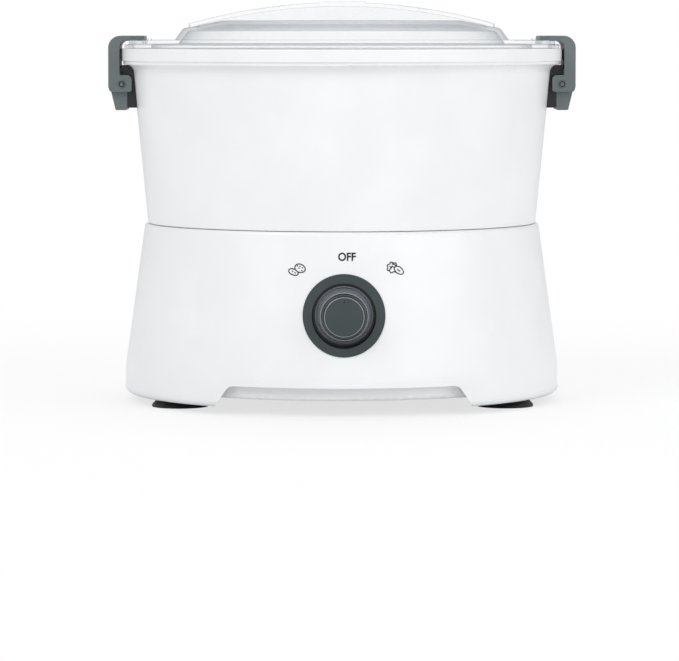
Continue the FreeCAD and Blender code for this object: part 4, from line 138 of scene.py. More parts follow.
class Signal:
    """A value in a shader tree that adds, multiplies and compares like a number."""

    def __init__(self, tree: bpy.types.NodeTree, socket: bpy.types.NodeSocket) -> None:
        """Wraps an output socket of a tree."""
        self.tree = tree
        self.socket = socket

    def calc(self, operation: str, *others: Number) -> Signal:
        """Result of a Math node.

        Args:
            operation: Blender's name of the operation.
            others: Further inputs of the node.

        Returns:
            The node's result.
        """
        node = add_node(self.tree, "ShaderNodeMath", dict(enumerate((self, *others))), operation=operation)
        return Signal(self.tree, node.outputs[0])

    def __add__(self, other: Number) -> Signal:
        """Sum."""
        return self.calc("ADD", other)

    def __sub__(self, other: Number) -> Signal:
        """Difference."""
        return self.calc("SUBTRACT", other)

    def __mul__(self, other: Number) -> Signal:
        """Product."""
        return self.calc("MULTIPLY", other)

    def __radd__(self, other: float) -> Signal:
        """Sum with a number in front."""
        return self + other

    def __rsub__(self, other: float) -> Signal:
        """Number less the value."""
        return self * -1.0 + other

    def __rmul__(self, other: float) -> Signal:
        """Product with a number in front."""
        return self * other

    def power(self, exponent: float) -> Signal:
        """Value raised to an exponent."""
        return self.calc("POWER", exponent)

    def sine(self) -> Signal:
        """Sine of the value."""
        return self.calc("SINE")

    def between(self, low: float, high: float) -> Signal:
        """Smooth step from 0 at low to 1 at high."""
        node = add_node(self.tree, "ShaderNodeMapRange", {
            "Value": self, "From Min": low, "From Max": high}, interpolation_type="SMOOTHSTEP")
        return Signal(self.tree, node.outputs["Result"])

    def band(self, low: float, high: float, margin: float) -> Signal:
        """1 from low to high, fading to 0 over a margin on both sides."""
        return self.between(low - margin, low) * (1.0 - self.between(high, high + margin))


class Recipe:
    """Node material around one Principled shader, patterned on object coordinates."""

    def __init__(self, name: str) -> None:
        """Starts a material of a name."""
        self.material = bpy.data.materials.new(name)
        self.material.use_nodes = True
        self.tree = self.material.node_tree
        self.tree.nodes.clear()
        self.shader = self.node("ShaderNodeBsdfPrincipled")
        self.output = self.node("ShaderNodeOutputMaterial", {"Surface": self.shader.outputs[0]})
        self.coordinates = self.node("ShaderNodeTexCoord").outputs["Object"]

    def node(self, kind: str, inputs: Inputs | None = None, **settings: object) -> bpy.types.Node:
        """Adds a node to the material, as add_node does."""
        return add_node(self.tree, kind, inputs, **settings)

    def noise(self, size: float, detail: float = 2.0, stretch: Colour = (1.0, 1.0, 1.0)) -> Signal:
        """Cloudy noise.

        Args:
            size: Size of the clouds in millimetres.
            detail: Octaves of finer noise.
            stretch: Factors on the three axes.

        Returns:
            The noise, from 0 to 1.
        """
        mapping = self.node("ShaderNodeMapping", {"Vector": self.coordinates, "Scale": stretch})
        node = self.node("ShaderNodeTexNoise", {
            "Vector": mapping.outputs[0], "Scale": 1 / (size * MM), "Detail": detail})
        return Signal(self.tree, node.outputs["Fac"])

    def grains(self, size: float) -> Signal:
        """Distance to the nearest of scattered points that are a size in millimetres apart."""
        node = self.node("ShaderNodeTexVoronoi", {"Vector": self.coordinates, "Scale": 1 / (size * MM)})
        return Signal(self.tree, node.outputs["Distance"])

    def slant(self) -> Signal:
        """How far the surface turns from the viewer, from 0 face on to 1 edge on."""
        return Signal(self.tree, self.node("ShaderNodeLayerWeight").outputs["Facing"])

    def axis(self, name: str) -> Signal:
        """Object coordinate X, Y or Z in metres."""
        return Signal(self.tree, self.node("ShaderNodeSeparateXYZ", {0: self.coordinates}).outputs[name])

    def colour_between(self, low: Colour, high: Colour, share: Signal) -> None:
        """Base colour that runs from one colour to another.

        Args:
            low: Linear colour at share 0.
            high: Linear colour at share 1.
            share: Where the surface stands between them.
        """
        node = self.node("ShaderNodeMix", {
            MIX_SHARE: share, MIX_LOW: (*low, 1.0), MIX_HIGH: (*high, 1.0)}, data_type="RGBA")
        self.tree.links.new(node.outputs[MIX_RESULT], self.shader.inputs["Base Color"])

    def feed(self, name: str, signal: Signal) -> None:
        """Links a varying value to an input of the shader."""
        self.tree.links.new(signal.socket, self.shader.inputs[name])

    def fix(self, **values: Union[float, Colour]) -> None:
        """Sets inputs that are the same all over.

        Args:
            values: Value of each input, with its name in lower case and _ for a space.
        """
        names = {socket.name.lower().replace(" ", "_"): socket for socket in self.shader.inputs}
        for key, value in values.items():
            names[key].default_value = (*value, 1.0) if isinstance(value, tuple) else value

    def relief(self, height: Signal, depth: float) -> None:
        """Bump of a given depth.

        Args:
            height: Relief from 0 to 1.
            depth: Its depth in millimetres.
        """
        node = self.node("ShaderNodeBump", {"Height": height, "Distance": depth * MM, "Strength": 1.0})
        self.tree.links.new(node.outputs[0], self.shader.inputs["Normal"])


@dataclass(frozen=True)
class Finish:
    """Looks of one material."""

    name: str

    def build(self) -> bpy.types.Material:
        """Makes the material."""
        recipe = Recipe(self.name)
        self.pattern(recipe)
        return recipe.material

    def pattern(self, recipe: Recipe) -> None:
        """Sets the recipe's colours, relief and shader inputs."""
        raise NotImplementedError


@dataclass(frozen=True)
class MouldedPlastic(Finish):
    """Injection moulded plastic with a spark-eroded grain and faint handling marks."""

    low: Colour
    high: Colour
    roughness: float
    grain_size: float = 0.35
    grain_depth: float = 0.006
    coat: float = 0.0

    def pattern(self, recipe: Recipe) -> None:
        """Patterns the recipe."""
        broad = recipe.noise(38.0, 3.0)
        fine = recipe.noise(self.grain_size, 2.0)
        rubbed = recipe.noise(9.0, 5.0, (1.0, 1.0, 0.5))
        self.colour(recipe, broad.between(0.32, 0.7) * 0.75 + fine * 0.25)
        recipe.feed("Roughness", rubbed.between(0.3, 0.75) * 0.07 + fine * 0.05 + (self.roughness - 0.06))
        recipe.relief(fine * 0.8 + recipe.noise(self.grain_size * 3.1, 1.0) * 0.6, self.grain_depth)
        recipe.fix(ior=1.49, coat_weight=self.coat, coat_roughness=0.18)

    def colour(self, recipe: Recipe, share: Signal) -> None:
        """Colours the recipe between the two tones by a share."""
        recipe.colour_between(self.low, self.high, share)


@dataclass(frozen=True)
class GripPlastic(MouldedPlastic):
    """Grey plastic of a knob, paler than the clips' grey: partly its own tone, partly painted highlight on its
    facets and the cap's bevel, with a darker band between two distances from its axis.
    """

    band: Colour = (0.0, 0.0, 0.0)
    axis_height: float = 56.9
    reach: Point = (11.2, 12.82)
    softness: float = 0.1
    mottle: float = 0.08

    def colour(self, recipe: Recipe, share: Signal) -> None:
        """Colours the recipe by the distance from the knob's axis."""
        across, up = recipe.axis("X"), recipe.axis("Z") - self.axis_height * MM
        distance = (across * across + up * up).power(0.5)
        inside = distance.band(self.reach[0] * MM, self.reach[1] * MM, self.softness * MM)
        # Pale outside the band: partly the knob's own tone, partly painted highlight on the grip's facets and
        # the cap's bevel.
        recipe.colour_between(self.high, self.band, inside * (1.0 - self.mottle) + share * self.mottle)


@dataclass(frozen=True)
class ClearPlastic(Finish):
    """Clear polished moulding, darker and more opaque where its surface is met at a slant, as painted shade
    for refraction, with a painted dark line of shade round its flange.
    """

    face: Colour
    edge: Colour
    least: float = 0.07
    most: float = 0.8
    rise: float = 3.4
    shade_line_height: float = 206.1
    shade_line_half: float = 0.35
    shade_line_fade: float = 0.2
    shade_line_share: float = 0.5

    def pattern(self, recipe: Recipe) -> None:
        """Patterns the recipe."""
        # Darker and more opaque towards edge-on parts: painted shade standing in for refraction in the clear
        # plastic.
        slant = recipe.slant().power(self.rise)
        wiped = recipe.noise(14.0, 4.0, (1.0, 0.6, 1.0)).between(0.45, 0.8)
        # Dark line round the flange's height: painted shade standing in for refraction where the flange meets
        # the rim.
        low, high = (self.shade_line_height - self.shade_line_half) * MM, (self.shade_line_height + self.shade_line_half) * MM
        shade_line = recipe.axis("Z").band(low, high, self.shade_line_fade * MM) * self.shade_line_share
        shade = slant.calc("MAXIMUM", shade_line)
        recipe.colour_between(self.face, self.edge, shade)
        recipe.feed("Alpha", shade * (self.most - self.least) + wiped * 0.03 + self.least)
        recipe.feed("Roughness", wiped * 0.06 + 0.05)
        recipe.relief(recipe.noise(22.0, 1.0), 0.03)
        recipe.fix(ior=1.49)


@dataclass(frozen=True)
class SoftRubber(Finish):
    """Matt rubber with a fine dusty bloom."""

    low: Colour
    high: Colour
    roughness: float = 0.62

    def pattern(self, recipe: Recipe) -> None:
        """Patterns the recipe."""
        bloom = recipe.noise(5.0, 5.0)
        fine = recipe.noise(0.25, 2.0)
        recipe.colour_between(self.low, self.high, bloom.between(0.35, 0.75))
        recipe.feed("Roughness", fine * 0.12 + (self.roughness - 0.06))
        recipe.relief(fine + recipe.grains(0.7) * 0.4, 0.012)
        recipe.fix(ior=1.5, sheen_weight=0.15, sheen_roughness=0.5)


@dataclass(frozen=True)
class Metal(Finish):
    """Metal with the fine lines of its making and a few stains."""

    low: Colour
    high: Colour
    roughness: float
    lines: Colour = (1.0, 1.0, 14.0)

    def pattern(self, recipe: Recipe) -> None:
        """Patterns the recipe."""
        lines = recipe.noise(1.6, 3.0, self.lines)
        stains = recipe.noise(7.0, 4.0)
        recipe.colour_between(self.low, self.high, stains.between(0.35, 0.7) * 0.6 + lines * 0.4)
        recipe.feed("Roughness", lines * 0.16 + stains * 0.08 + (self.roughness - 0.12))
        recipe.relief(lines, 0.008)
        recipe.fix(metallic=1.0)


@dataclass(frozen=True)
class AbrasiveCoat(Finish):
    """Coarse mineral grains bedded in resin."""

    resin: Colour
    stone: Colour

    def pattern(self, recipe: Recipe) -> None:
        """Patterns the recipe."""
        cells = recipe.grains(1.3)
        dust = recipe.noise(0.4, 3.0)
        recipe.colour_between(self.stone, self.resin, cells.between(0.15, 0.75) * 0.7 + dust * 0.3)
        recipe.feed("Roughness", dust * 0.2 + 0.68)
        recipe.relief(dust * 0.35 - cells, 0.35)
        recipe.fix(ior=1.54)


@dataclass(frozen=True)
class BoardLacquer(Finish):
    """Green lacquered board with copper tracks under the lacquer."""

    ground: Colour
    track: Colour

    def pattern(self, recipe: Recipe) -> None:
        """Patterns the recipe."""
        across = (recipe.axis("X") * 1900.0 + recipe.noise(9.0, 0.0) * 7.0).sine()
        along = (recipe.axis("Y") * 1300.0 + recipe.noise(12.0, 0.0) * 9.0).sine()
        tracks = across.between(0.35, 0.5) * along.between(-0.6, -0.4)
        recipe.colour_between(self.ground, self.track, tracks)
        recipe.feed("Roughness", recipe.noise(3.0) * 0.08 + 0.2)
        recipe.relief(tracks, 0.03)
        recipe.fix(ior=1.5, coat_weight=0.4, coat_roughness=0.12)


@dataclass(frozen=True)
class PrintedInk(Finish):
    """Pad-printed ink with slightly uneven cover."""

    ink: Colour
    worn: Colour

    def pattern(self, recipe: Recipe) -> None:
        """Patterns the recipe."""
        cover = recipe.noise(0.5, 3.0)
        recipe.colour_between(self.ink, self.worn, cover.between(0.45, 0.85))
        recipe.feed("Roughness", cover * 0.15 + 0.38)
        recipe.relief(cover, 0.004)


FINISHES: dict[Slot, Finish] = {
    Slot.WHITE: MouldedPlastic("white_moulding", linear("e9ebed"), linear("eef0f1"), 0.34, 0.3, 0.004, 0.12),
    Slot.TRAY: MouldedPlastic("pale_grey_moulding", linear("eceeee"), linear("f1f2f2"), 0.45),
    Slot.GREY: MouldedPlastic("satin_grey_moulding", linear("636c6e"), linear("6b7476"), 0.36, 0.4, 0.008),
    Slot.DARK_GREY: MouldedPlastic("dark_grey_moulding", linear("313a3c"), linear("374143"), 0.38, 0.4, 0.008),
    Slot.BLACK: MouldedPlastic("black_moulding", linear("181b1d"), linear("222527"), 0.42, 0.4, 0.01),
    Slot.RUBBER: SoftRubber("black_rubber", linear("101112"), linear("1b1c1d")),
    # The clear moulding's second colour is painted shade for its edge-on parts.
    Slot.CLEAR: ClearPlastic("clear_moulding", linear("f4f8fc"), linear("465a74")),
    Slot.GASKET: SoftRubber("pale_silicone", linear("92989b"), linear("a0a5a7"), 0.5),
    Slot.STEEL: Metal("turned_steel", linear("a8a8aa"), linear("c4c4c5"), 0.28),
    Slot.ZINC: Metal("plated_steel", linear("9ea2a6"), linear("babbb8"), 0.36, (1.0, 1.0, 1.0)),
    Slot.BRASS: Metal("sintered_bronze", linear("a07c3e"), linear("be9854"), 0.38),
    Slot.COPPER: Metal("enamelled_copper", linear("964422"), linear("ba6034"), 0.3, (1.0, 1.0, 3.0)),
    Slot.MAGNET: Metal("dull_ferrite", linear("2c2c2e"), linear("3a3a3c"), 0.62, (1.0, 1.0, 1.0)),
    Slot.CARBON: Metal("dull_carbon", linear("1e1e1f"), linear("2a2a2b"), 0.6, (1.0, 1.0, 1.0)),
    Slot.GEAR: MouldedPlastic("natural_acetal", linear("ded9c8"), linear("e8e4d5"), 0.32, 0.5, 0.006),
    Slot.BOARD: BoardLacquer("lacquered_board", linear("125430"), linear("2e703e")),
    Slot.GRIT: AbrasiveCoat("abrasive_coat", linear("686866"), linear("8e8d89")),
}


# Paler than the grey slot's plastic: partly painted highlight on the knob.
GRIP_FINISH = GripPlastic(
    "pale_grey_grip", linear("747b81"), linear("7b8288"), 0.26, 0.4, 0.005, 0.4, linear("283033"))
INK_FINISH = PrintedInk("black_ink", linear("08080a"), linear("161619"))


class Finisher:
    """Keeps one material for each slot and puts them on pieces."""

    def __init__(self) -> None:
        """Makes the slots' materials, and those of the grip and the ink."""
        self.materials = {slot: finish.build() for slot, finish in FINISHES.items()}
        self.grip = GRIP_FINISH.build()
        self.ink = INK_FINISH.build()

    def dress(self, slots: dict[Slot, Sequence[str]]) -> None:
        """Gives CAD nodes their materials.

        Args:
            slots: The nodes of each slot.
        """
        for slot, nodes in slots.items():
            for node in nodes:
                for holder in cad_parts[node].material_slots:
                    holder.material = self.materials[slot]
                LOG.info("dressed %s with %s", node, slot.value)

    def place(self, mesh: bpy.types.Mesh, body: Body, slot: Slot, stands_for: Iterable[str] = (),
              material: bpy.types.Material | None = None) -> None:
        """Makes an object from a mesh, in its slot's material or a given one, riding on a body.

        Args:
            mesh: Finished mesh in the object's frame.
            body: Body that it moves with.
            slot: Slot whose material it takes where no other material is given.
            stands_for: CAD nodes that it replaces.
            material: Its material where that isn't the slot's own.
        """
        mesh.materials.clear()
        mesh.materials.append(material or self.materials[slot])
        piece = bpy.data.objects.new(mesh.name, mesh)
        bpy.context.scene.collection.objects.link(piece)
        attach(piece, body.value)
        if stands_for:
            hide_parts(*stands_for)
        LOG.info("made %s with %d faces on %s", piece.name, len(mesh.polygons), body.value)


def mesh_of(
    name: str, points: Sequence[Vector], faces: Sequence[Sequence[int]], smooth: bool = True,
) -> bpy.types.Mesh:
    """Mesh with merged points and outward normals.

    Args:
        name: Name of the mesh.
        points: Its points.
        faces: Point numbers of each face.
        smooth: Whether the faces are shaded smooth.

    Returns:
        The mesh.
    """
    mesh = bpy.data.meshes.new(name)
    mesh.from_pydata([tuple(point) for point in points], [], [tuple(face) for face in faces])
    work = bmesh.new()
    work.from_mesh(mesh)
    bmesh.ops.remove_doubles(work, verts=work.verts, dist=1e-7)
    bmesh.ops.recalc_face_normals(work, faces=work.faces)
    for face in work.faces:
        face.smooth = smooth
    work.to_mesh(mesh)
    work.free()
    return mesh


def angles(count: int) -> list[float]:
    """Angles of points spaced evenly round a circle."""
    return [2 * math.pi * i / count for i in range(count)]


def ring_faces(rings: int, count: int) -> list[list[int]]:
    """Faces between rings of points that follow each other.

    Args:
        rings: Number of rings.
        count: Points on each ring.

    Returns:
        The point numbers of each face.
    """
    return [
        [
            ring * count + i, ring * count + (i + 1) % count, (ring + 1) * count + (i + 1) % count,
            (ring + 1) * count + i]
        for ring in range(rings - 1) for i in range(count)
    ]


class NodeTree:
    """Geometry node tree with named sizes, ending in Realize Instances and Set Material."""

    def __init__(self, name: str, sizes: dict[str, Union[float, int]]) -> None:
        """Starts a tree.

        Args:
            name: Name of the tree.
            sizes: Named inputs and their values, whole numbers for counts and seeds.
        """
        self.tree = bpy.data.node_groups.new(name, "GeometryNodeTree")
        self.sizes = sizes
        self.tree.interface.new_socket("Geometry", in_out="OUTPUT", socket_type="NodeSocketGeometry")
        self.tree.interface.new_socket("Geometry", in_out="INPUT", socket_type="NodeSocketGeometry")
        self.keys: dict[str, str] = {}
        for label, value in sizes.items():
            kind = "NodeSocketInt" if isinstance(value, int) else "NodeSocketFloat"
            self.keys[label] = self.tree.interface.new_socket(
                label, in_out="INPUT", socket_type=kind).identifier
        self.inputs = self.tree.nodes.new("NodeGroupInput").outputs

    def node(self, kind: str, inputs: Inputs | None = None, **settings: object) -> bpy.types.Node:
        """Adds a node to the tree, as add_node does."""
        return add_node(self.tree, kind, inputs, **settings)

    def apply(
        self, geometry: bpy.types.NodeSocket, carrier: bpy.types.Mesh, material: bpy.types.Material,
    ) -> bpy.types.Mesh:
        """Ends the tree, runs it and returns its result as a plain mesh.

        Args:
            geometry: Geometry to output.
            carrier: Mesh that the tree is run on.
            material: Material of the result.

        Returns:
            The plain mesh.
        """
        real = self.node("GeometryNodeRealizeInstances", {"Geometry": geometry})
        shaded = self.node("GeometryNodeSetShadeSmooth", {"Geometry": real.outputs[0]})
        dressed = self.node("GeometryNodeSetMaterial", {"Geometry": shaded.outputs[0], "Material": material})
        self.node("NodeGroupOutput", {"Geometry": dressed.outputs[0]})
        holder = bpy.data.objects.new(self.tree.name + "_carrier", carrier)
        bpy.context.scene.collection.objects.link(holder)
        modifier = holder.modifiers.new("shape", "NODES")
        modifier.node_group = self.tree
        for label, value in self.sizes.items():
            modifier[self.keys[label]] = value
        evaluated = holder.evaluated_get(bpy.context.evaluated_depsgraph_get())
        mesh = bpy.data.meshes.new_from_object(evaluated)
        mesh.name = self.tree.name
        holder.modifiers.clear()
        bpy.data.objects.remove(holder)
        return mesh


@dataclass
class Part:
    """Part of the peeler, whose CAD nodes take their slots' materials."""

    slots: ClassVar[dict[Slot, Sequence[str]]] = {}

    def build(self, finisher: Finisher) -> None:
        """Dresses the part.

        Args:
            finisher: Keeper of the materials.
        """
        finisher.dress(self.slots)


@dataclass
class BaseShell(Part):
    """Base housing with its tray, feet and gland, and the marks printed above the knob."""

    knee_height: float = 21.0
    skirt_radius: float = 125.8
    deck_height: float = 102.7
    deck_radius: float = 114.4
    ink_proud: float = 0.07
    ink_sunk: float = 0.05
    stroke: float = 0.6
    end_points: int = 12
    outline_points: int = 40
    crown_points: int = 72
    word_centre: Point = (1.65, 89.3)
    word_narrowing: float = 0.9
    word_height: float = 4.7
    root_mark: Point = (-26.3, 82.1)
    leaf_mark: Point = (28.85, 82.8)
    slots = {
        Slot.WHITE: ("base_housing",),
        Slot.TRAY: ("bottom_tray",),
        Slot.RUBBER: ("rubber_feet", "cable_gland", "shaft_seal"),
        Slot.ZINC: ("case_screws", "clamp_screws", "board_screws"),
        Slot.BLACK: ("cord_clamp", "board_parts", "micro_switch"),
        Slot.BOARD: ("control_board",),
        Slot.GREY: ("interlock_pin",),
    }

    def wrapped(self, x: float, z: float, proud: float) -> Vector:
        """Point of a flat drawing laid round the housing's flared front.

        Args:
            x: Distance to the right along the surface in millimetres.
            z: Height in millimetres.
            proud: Distance out from the surface in millimetres.

        Returns:
            The point in metres.
        """
        share = (z - self.knee_height) / (self.deck_height - self.knee_height)
        radius = self.skirt_radius + share * (self.deck_radius - self.skirt_radius)
        angle = x / radius
        return Vector((math.sin(angle) * (radius + proud), -math.cos(angle) * (radius + proud), z)) * MM

    def stroke_faces(
        self, line: Sequence[Point], closed: bool, start: int,
    ) -> tuple[list[Point], list[list[int]]]:
        """Flat ribbon along a line, with round ends where it is open.

        Args:
            line: Points of the line.
            closed: Whether it returns to its start.
            start: Number of the first new point.

        Returns:
            The ribbon's points and faces.
        """
        half = self.stroke / 2
        count = len(line)
        points: list[Point] = []
        for index, (a, b) in enumerate(line):
            before = line[index - 1] if closed or index else line[0]
            after = line[(index + 1) % count] if closed or index < count - 1 else line[-1]
            dx, dy = after[0] - before[0], after[1] - before[1]
            length = math.hypot(dx, dy) or 1.0
            points += [
                (a - dy / length * half, b + dx / length * half),
                (a + dy / length * half, b - dx / length * half)]
        steps = count if closed else count - 1
        total = 2 * count
        faces = [[start + 2 * i, start + 2 * i + 1, start + (2 * i + 3) % total, start + (2 * i + 2) % total]
                 for i in range(steps)]
        if not closed:
            for a, b in (line[0], line[-1]):
                first = start + len(points)
                points += [(a + half * math.cos(t), b + half * math.sin(t))
                           for t in angles(self.end_points)]
                faces.append(list(range(first, first + self.end_points)))
        return points, faces

    def printed(self, name: str, points: Sequence[Point], faces: Sequence[Sequence[int]]) -> bpy.types.Mesh:
        """Thin closed skin of ink from a flat drawing.

        Args:
            name: Name of the mesh.
            points: Flat points, x along the surface and z in height.
            faces: Faces of the drawing.

        Returns:
            The mesh on the housing.
        """
        flat = bmesh.new()
        verts = [flat.verts.new((a, 0.0, b)) for a, b in points]
        for face in faces:
            flat.faces.new([verts[i] for i in face])
        result = bmesh.ops.extrude_face_region(flat, geom=flat.faces[:])
        lifted = [item for item in result["geom"] if isinstance(item, bmesh.types.BMVert)]
        top = set(lifted)
        for vert in flat.verts:
            vert.co = self.wrapped(vert.co.x, vert.co.z, self.ink_proud if vert in top else -self.ink_sunk)
        bmesh.ops.recalc_face_normals(flat, faces=flat.faces)
        mesh = bpy.data.meshes.new(name)
        flat.to_mesh(mesh)
        flat.free()
        return mesh

    def drawing(
        self, name: str, centre: Point, lines: Sequence[tuple[Sequence[Point], bool]],
    ) -> bpy.types.Mesh:
        """Line drawing printed round a centre.

        Args:
            name: Name of the mesh.
            centre: Its middle on the surface.
            lines: Lines and whether each is closed.

        Returns:
            The mesh on the housing.
        """
        points: list[Point] = []
        faces: list[list[int]] = []
        for line, closed in lines:
            moved = [(centre[0] + a, centre[1] + b) for a, b in line]
            more_points, more_faces = self.stroke_faces(moved, closed, len(points))
            points += more_points
            faces += more_faces
        return self.printed(name, points, faces)

    def lump(self, a: float, b: float, wide: float, high: float, tilt: float, wobble: float) -> list[Point]:
        """Closed uneven oval, as a root vegetable is drawn.

        Args:
            a: Middle across.
            b: Middle in height.
            wide: Half width.
            high: Half height.
            tilt: Turn in degrees.
            wobble: Share of unevenness.

        Returns:
            The oval's points.
        """
        points = []
        turn = math.radians(tilt)
        for angle in angles(self.outline_points):
            swell = 1 + wobble * math.sin(2 * angle + tilt) + wobble / 2 * math.cos(3 * angle)
            u, v = wide * swell * math.cos(angle), high * swell * math.sin(angle)
            points.append(
                (a + u * math.cos(turn) - v * math.sin(turn), b + u * math.sin(turn) + v * math.cos(turn)))
        return points

    def left_open(self, line: Sequence[Point], cover: Sequence[Point]) -> list[tuple[list[Point], bool]]:
        """Stretches of a closed line that another outline doesn't hide.

        Args:
            line: Points of the closed line.
            cover: Outline that stands before it.

        Returns:
            The open stretches.
        """
        def hidden(point: Point) -> bool:
            inside = False
            for (a, b), (c, d) in zip(cover, list(cover[1:]) + [cover[0]]):
                if (b > point[1]) != (d > point[1]) and point[0] < (c - a) * (point[1] - b) / (d - b) + a:
                    inside = not inside
            return inside

        first = next((i for i, point in enumerate(line) if hidden(point)), 0)
        runs: list[tuple[list[Point], bool]] = []
        run: list[Point] = []
        for point in list(line[first:]) + list(line[:first + 1]):
            if hidden(point):
                if len(run) > 1:
                    runs.append((run, False))
                run = []
            else:
                run.append(point)
        return runs + ([(run, False)] if len(run) > 1 else [])

    def root_lines(self) -> list[tuple[list[Point], bool]]:
        """Two plain root vegetables, one before the other, with a few eyes."""
        front = self.lump(-2.0, -1.35, 2.75, 1.65, -24, 0.04)
        behind = self.lump(1.75, 0.75, 3.1, 2.2, -20, 0.04)
        spots = ((0.2, 2.2), (1.6, 1.9), (3.0, 1.1), (1.0, 0.9), (2.6, -0.4), (-2.6, -0.9), (-1.1, -1.7))
        eyes = [([(x, z), (x + 0.28, z - 0.16)], False) for x, z in spots]
        return [(front, True)] + self.left_open(behind, front) + eyes

    def leaf_lines(self) -> list[tuple[list[Point], bool]]:
        """Leafy head behind a long vegetable."""
        front = self.lump(2.0, -1.15, 3.0, 1.75, -38, 0.03)
        crown = []
        for angle in angles(self.crown_points):
            reach = 2.75 + 0.3 * math.cos(7 * angle)
            crown.append((-1.75 + reach * math.cos(angle) * 1.05, 0.45 + reach * math.sin(angle)))
        ribs = [
            ([(-3.4, -0.9), (-2.5, 0.1), (-1.9, 1.2)], False), ([(-2.3, 0.3), (-3.2, 1.0)], False),
            ([(-2.0, 0.9), (-1.0, 0.7)], False), ([(-1.9, 2.4), (-0.4, 2.0), (0.6, 1.1)], False),
            ([(1.2, -0.7), (2.6, -1.7)], False),
        ]
        return [(front, True)] + self.left_open(crown, front) + ribs

    def word(self, text: str) -> bpy.types.Mesh:
        """Word printed over the knob.

        Args:
            text: The word.

        Returns:
            The mesh on the housing.
        """
        curve = bpy.data.curves.new("word", "FONT")
        curve.body = text
        curve.align_x, curve.align_y = "CENTER", "CENTER"
        curve.offset = 0.026
        curve.resolution_u = 6
        holder = bpy.data.objects.new("word", curve)
        bpy.context.scene.collection.objects.link(holder)
        flat = bpy.data.meshes.new_from_object(holder.evaluated_get(bpy.context.evaluated_depsgraph_get()))
        bpy.data.objects.remove(holder)
        xs = [vert.co.x for vert in flat.vertices]
        ys = [vert.co.y for vert in flat.vertices]
        scale = self.word_height / (max(ys) - min(ys))
        middle = ((max(xs) + min(xs)) / 2, (max(ys) + min(ys)) / 2)
        narrow = scale * self.word_narrowing
        across, up = self.word_centre
        points = [(across + (v.co.x - middle[0]) * narrow, up + (v.co.y - middle[1]) * scale)
                  for v in flat.vertices]
        return self.printed("word_off", points, [list(face.vertices) for face in flat.polygons])

    def build(self, finisher: Finisher) -> None:
        """Dresses the base and prints its marks."""
        super().build(finisher)
        marks = [
            self.word("OFF"),
            self.drawing("mark_roots", self.root_mark, self.root_lines()),
            self.drawing("mark_leaves", self.leaf_mark, self.leaf_lines()),
        ]
        for mesh in marks:
            finisher.place(mesh, Body.BASE, Slot.BLACK, material=finisher.ink)


@dataclass
class ControlKnob(Part):
    """Faceted knob in its dished collar."""

    height: float = 56.9
    base_y: float = 115.4
    facets: int = 24
    steps: int = 8
    slots = {
        Slot.DARK_GREY: ("knob_bezel", "knob_cap"),
        Slot.STEEL: ("knob_shaft",),
        Slot.BLACK: ("rotary_switch",),
        Slot.ZINC: ("switch_nut",),
    }
    cap_out: float = 18.2
    dot_radius: float = 0.53
    dot_offset: float = 8.4
    dot_depth: float = 0.45
    section: Sequence[tuple[float, float, float]] = (
        (0.0, 15.0, 0.0), (3.04, 15.0, 0.0), (3.04, 2.8, 0.0), (6.0, 2.8, 0.0), (6.0, 9.0, 0.0),
        (12.0, 9.0, 0.0),
        (12.0, 0.0, 0.0), (15.95, 0.0, 1.0), (16.35, 0.35, 1.0), (16.35, 1.95, 1.0), (16.1, 2.35, 1.0),
        (15.85, 2.4, 1.0), (15.8, 0.9, 1.0), (15.15, 0.9, 1.0), (15.15, 2.5, 1.0), (13.5, 12.8, 1.0),
        (13.25, 13.35, 0.9), (13.0, 13.6, 0.5), (12.85, 13.6, 0.0), (12.8, 12.4, 0.0), (12.3, 12.4, 0.0),
        (12.3, 15.1, 0.0), (12.1, 15.5, 0.0), (11.85, 15.6, 0.0), (11.65, 15.6, 0.0), (11.6, 14.4, 0.0),
        (11.15, 14.4, 0.0), (11.15, 17.75, 0.0), (11.0, 18.1, 0.0), (10.8, 18.2, 0.0), (10.65, 18.2, 0.0),
        (10.6, 17.0, 0.0), (0.0, 17.0, 0.0),
    )

    def shell(self) -> bpy.types.Mesh:
        """Knob turned from its section, flattened to facets where the section says so."""
        count = self.facets * self.steps
        pitch = 2 * math.pi / self.facets
        points: list[Vector] = []
        for radius, out, facet in self.section:
            for index in range(count):
                angle = pitch * index / self.steps
                off = (angle % pitch) - pitch / 2
                flat = math.cos(pitch / 2) / math.cos(off)
                reach = radius * (1 + facet * (flat - 1))
                points.append(self.at(reach * math.cos(angle), out, reach * math.sin(angle)))
        mesh = mesh_of("knob_shell", points, ring_faces(len(self.section), count))
        sharpen(mesh, 9.0)
        return mesh

    def at(self, across: float, out: float, up: float) -> Vector:
        """Point of the knob in metres.

        Args:
            across: Distance to the right of its axis in millimetres.
            out: Distance out from its inner edge in millimetres.
            up: Distance over its axis in millimetres.

        Returns:
            The point.
        """
        return Vector((across, -(self.base_y + out), self.height + up)) * MM

    def dot(self) -> bpy.types.Mesh:
        """Dark filling of the small mark on the knob's face."""
        count = 24
        points: list[Vector] = []
        for out in (self.cap_out - self.dot_depth, self.cap_out - 0.05):
            for angle in angles(count):
                points.append(self.at(self.dot_radius * math.cos(angle), out,
                                      self.dot_offset + self.dot_radius * math.sin(angle)))
        faces = [list(range(count)), list(range(count, 2 * count))] + ring_faces(2, count)
        return mesh_of("knob_dot", points, faces, smooth=False)

    def build(self, finisher: Finisher) -> None:
        """Dresses the knob and replaces its shell with the finer one."""
        super().build(finisher)
        # The knob rides in the grey slot but wears a paler copy of it, partly painted highlight.
        finisher.place(self.shell(), Body.KNOB, Slot.GREY, ("knob",), finisher.grip)
        finisher.place(self.dot(), Body.KNOB, Slot.BLACK, material=finisher.ink)


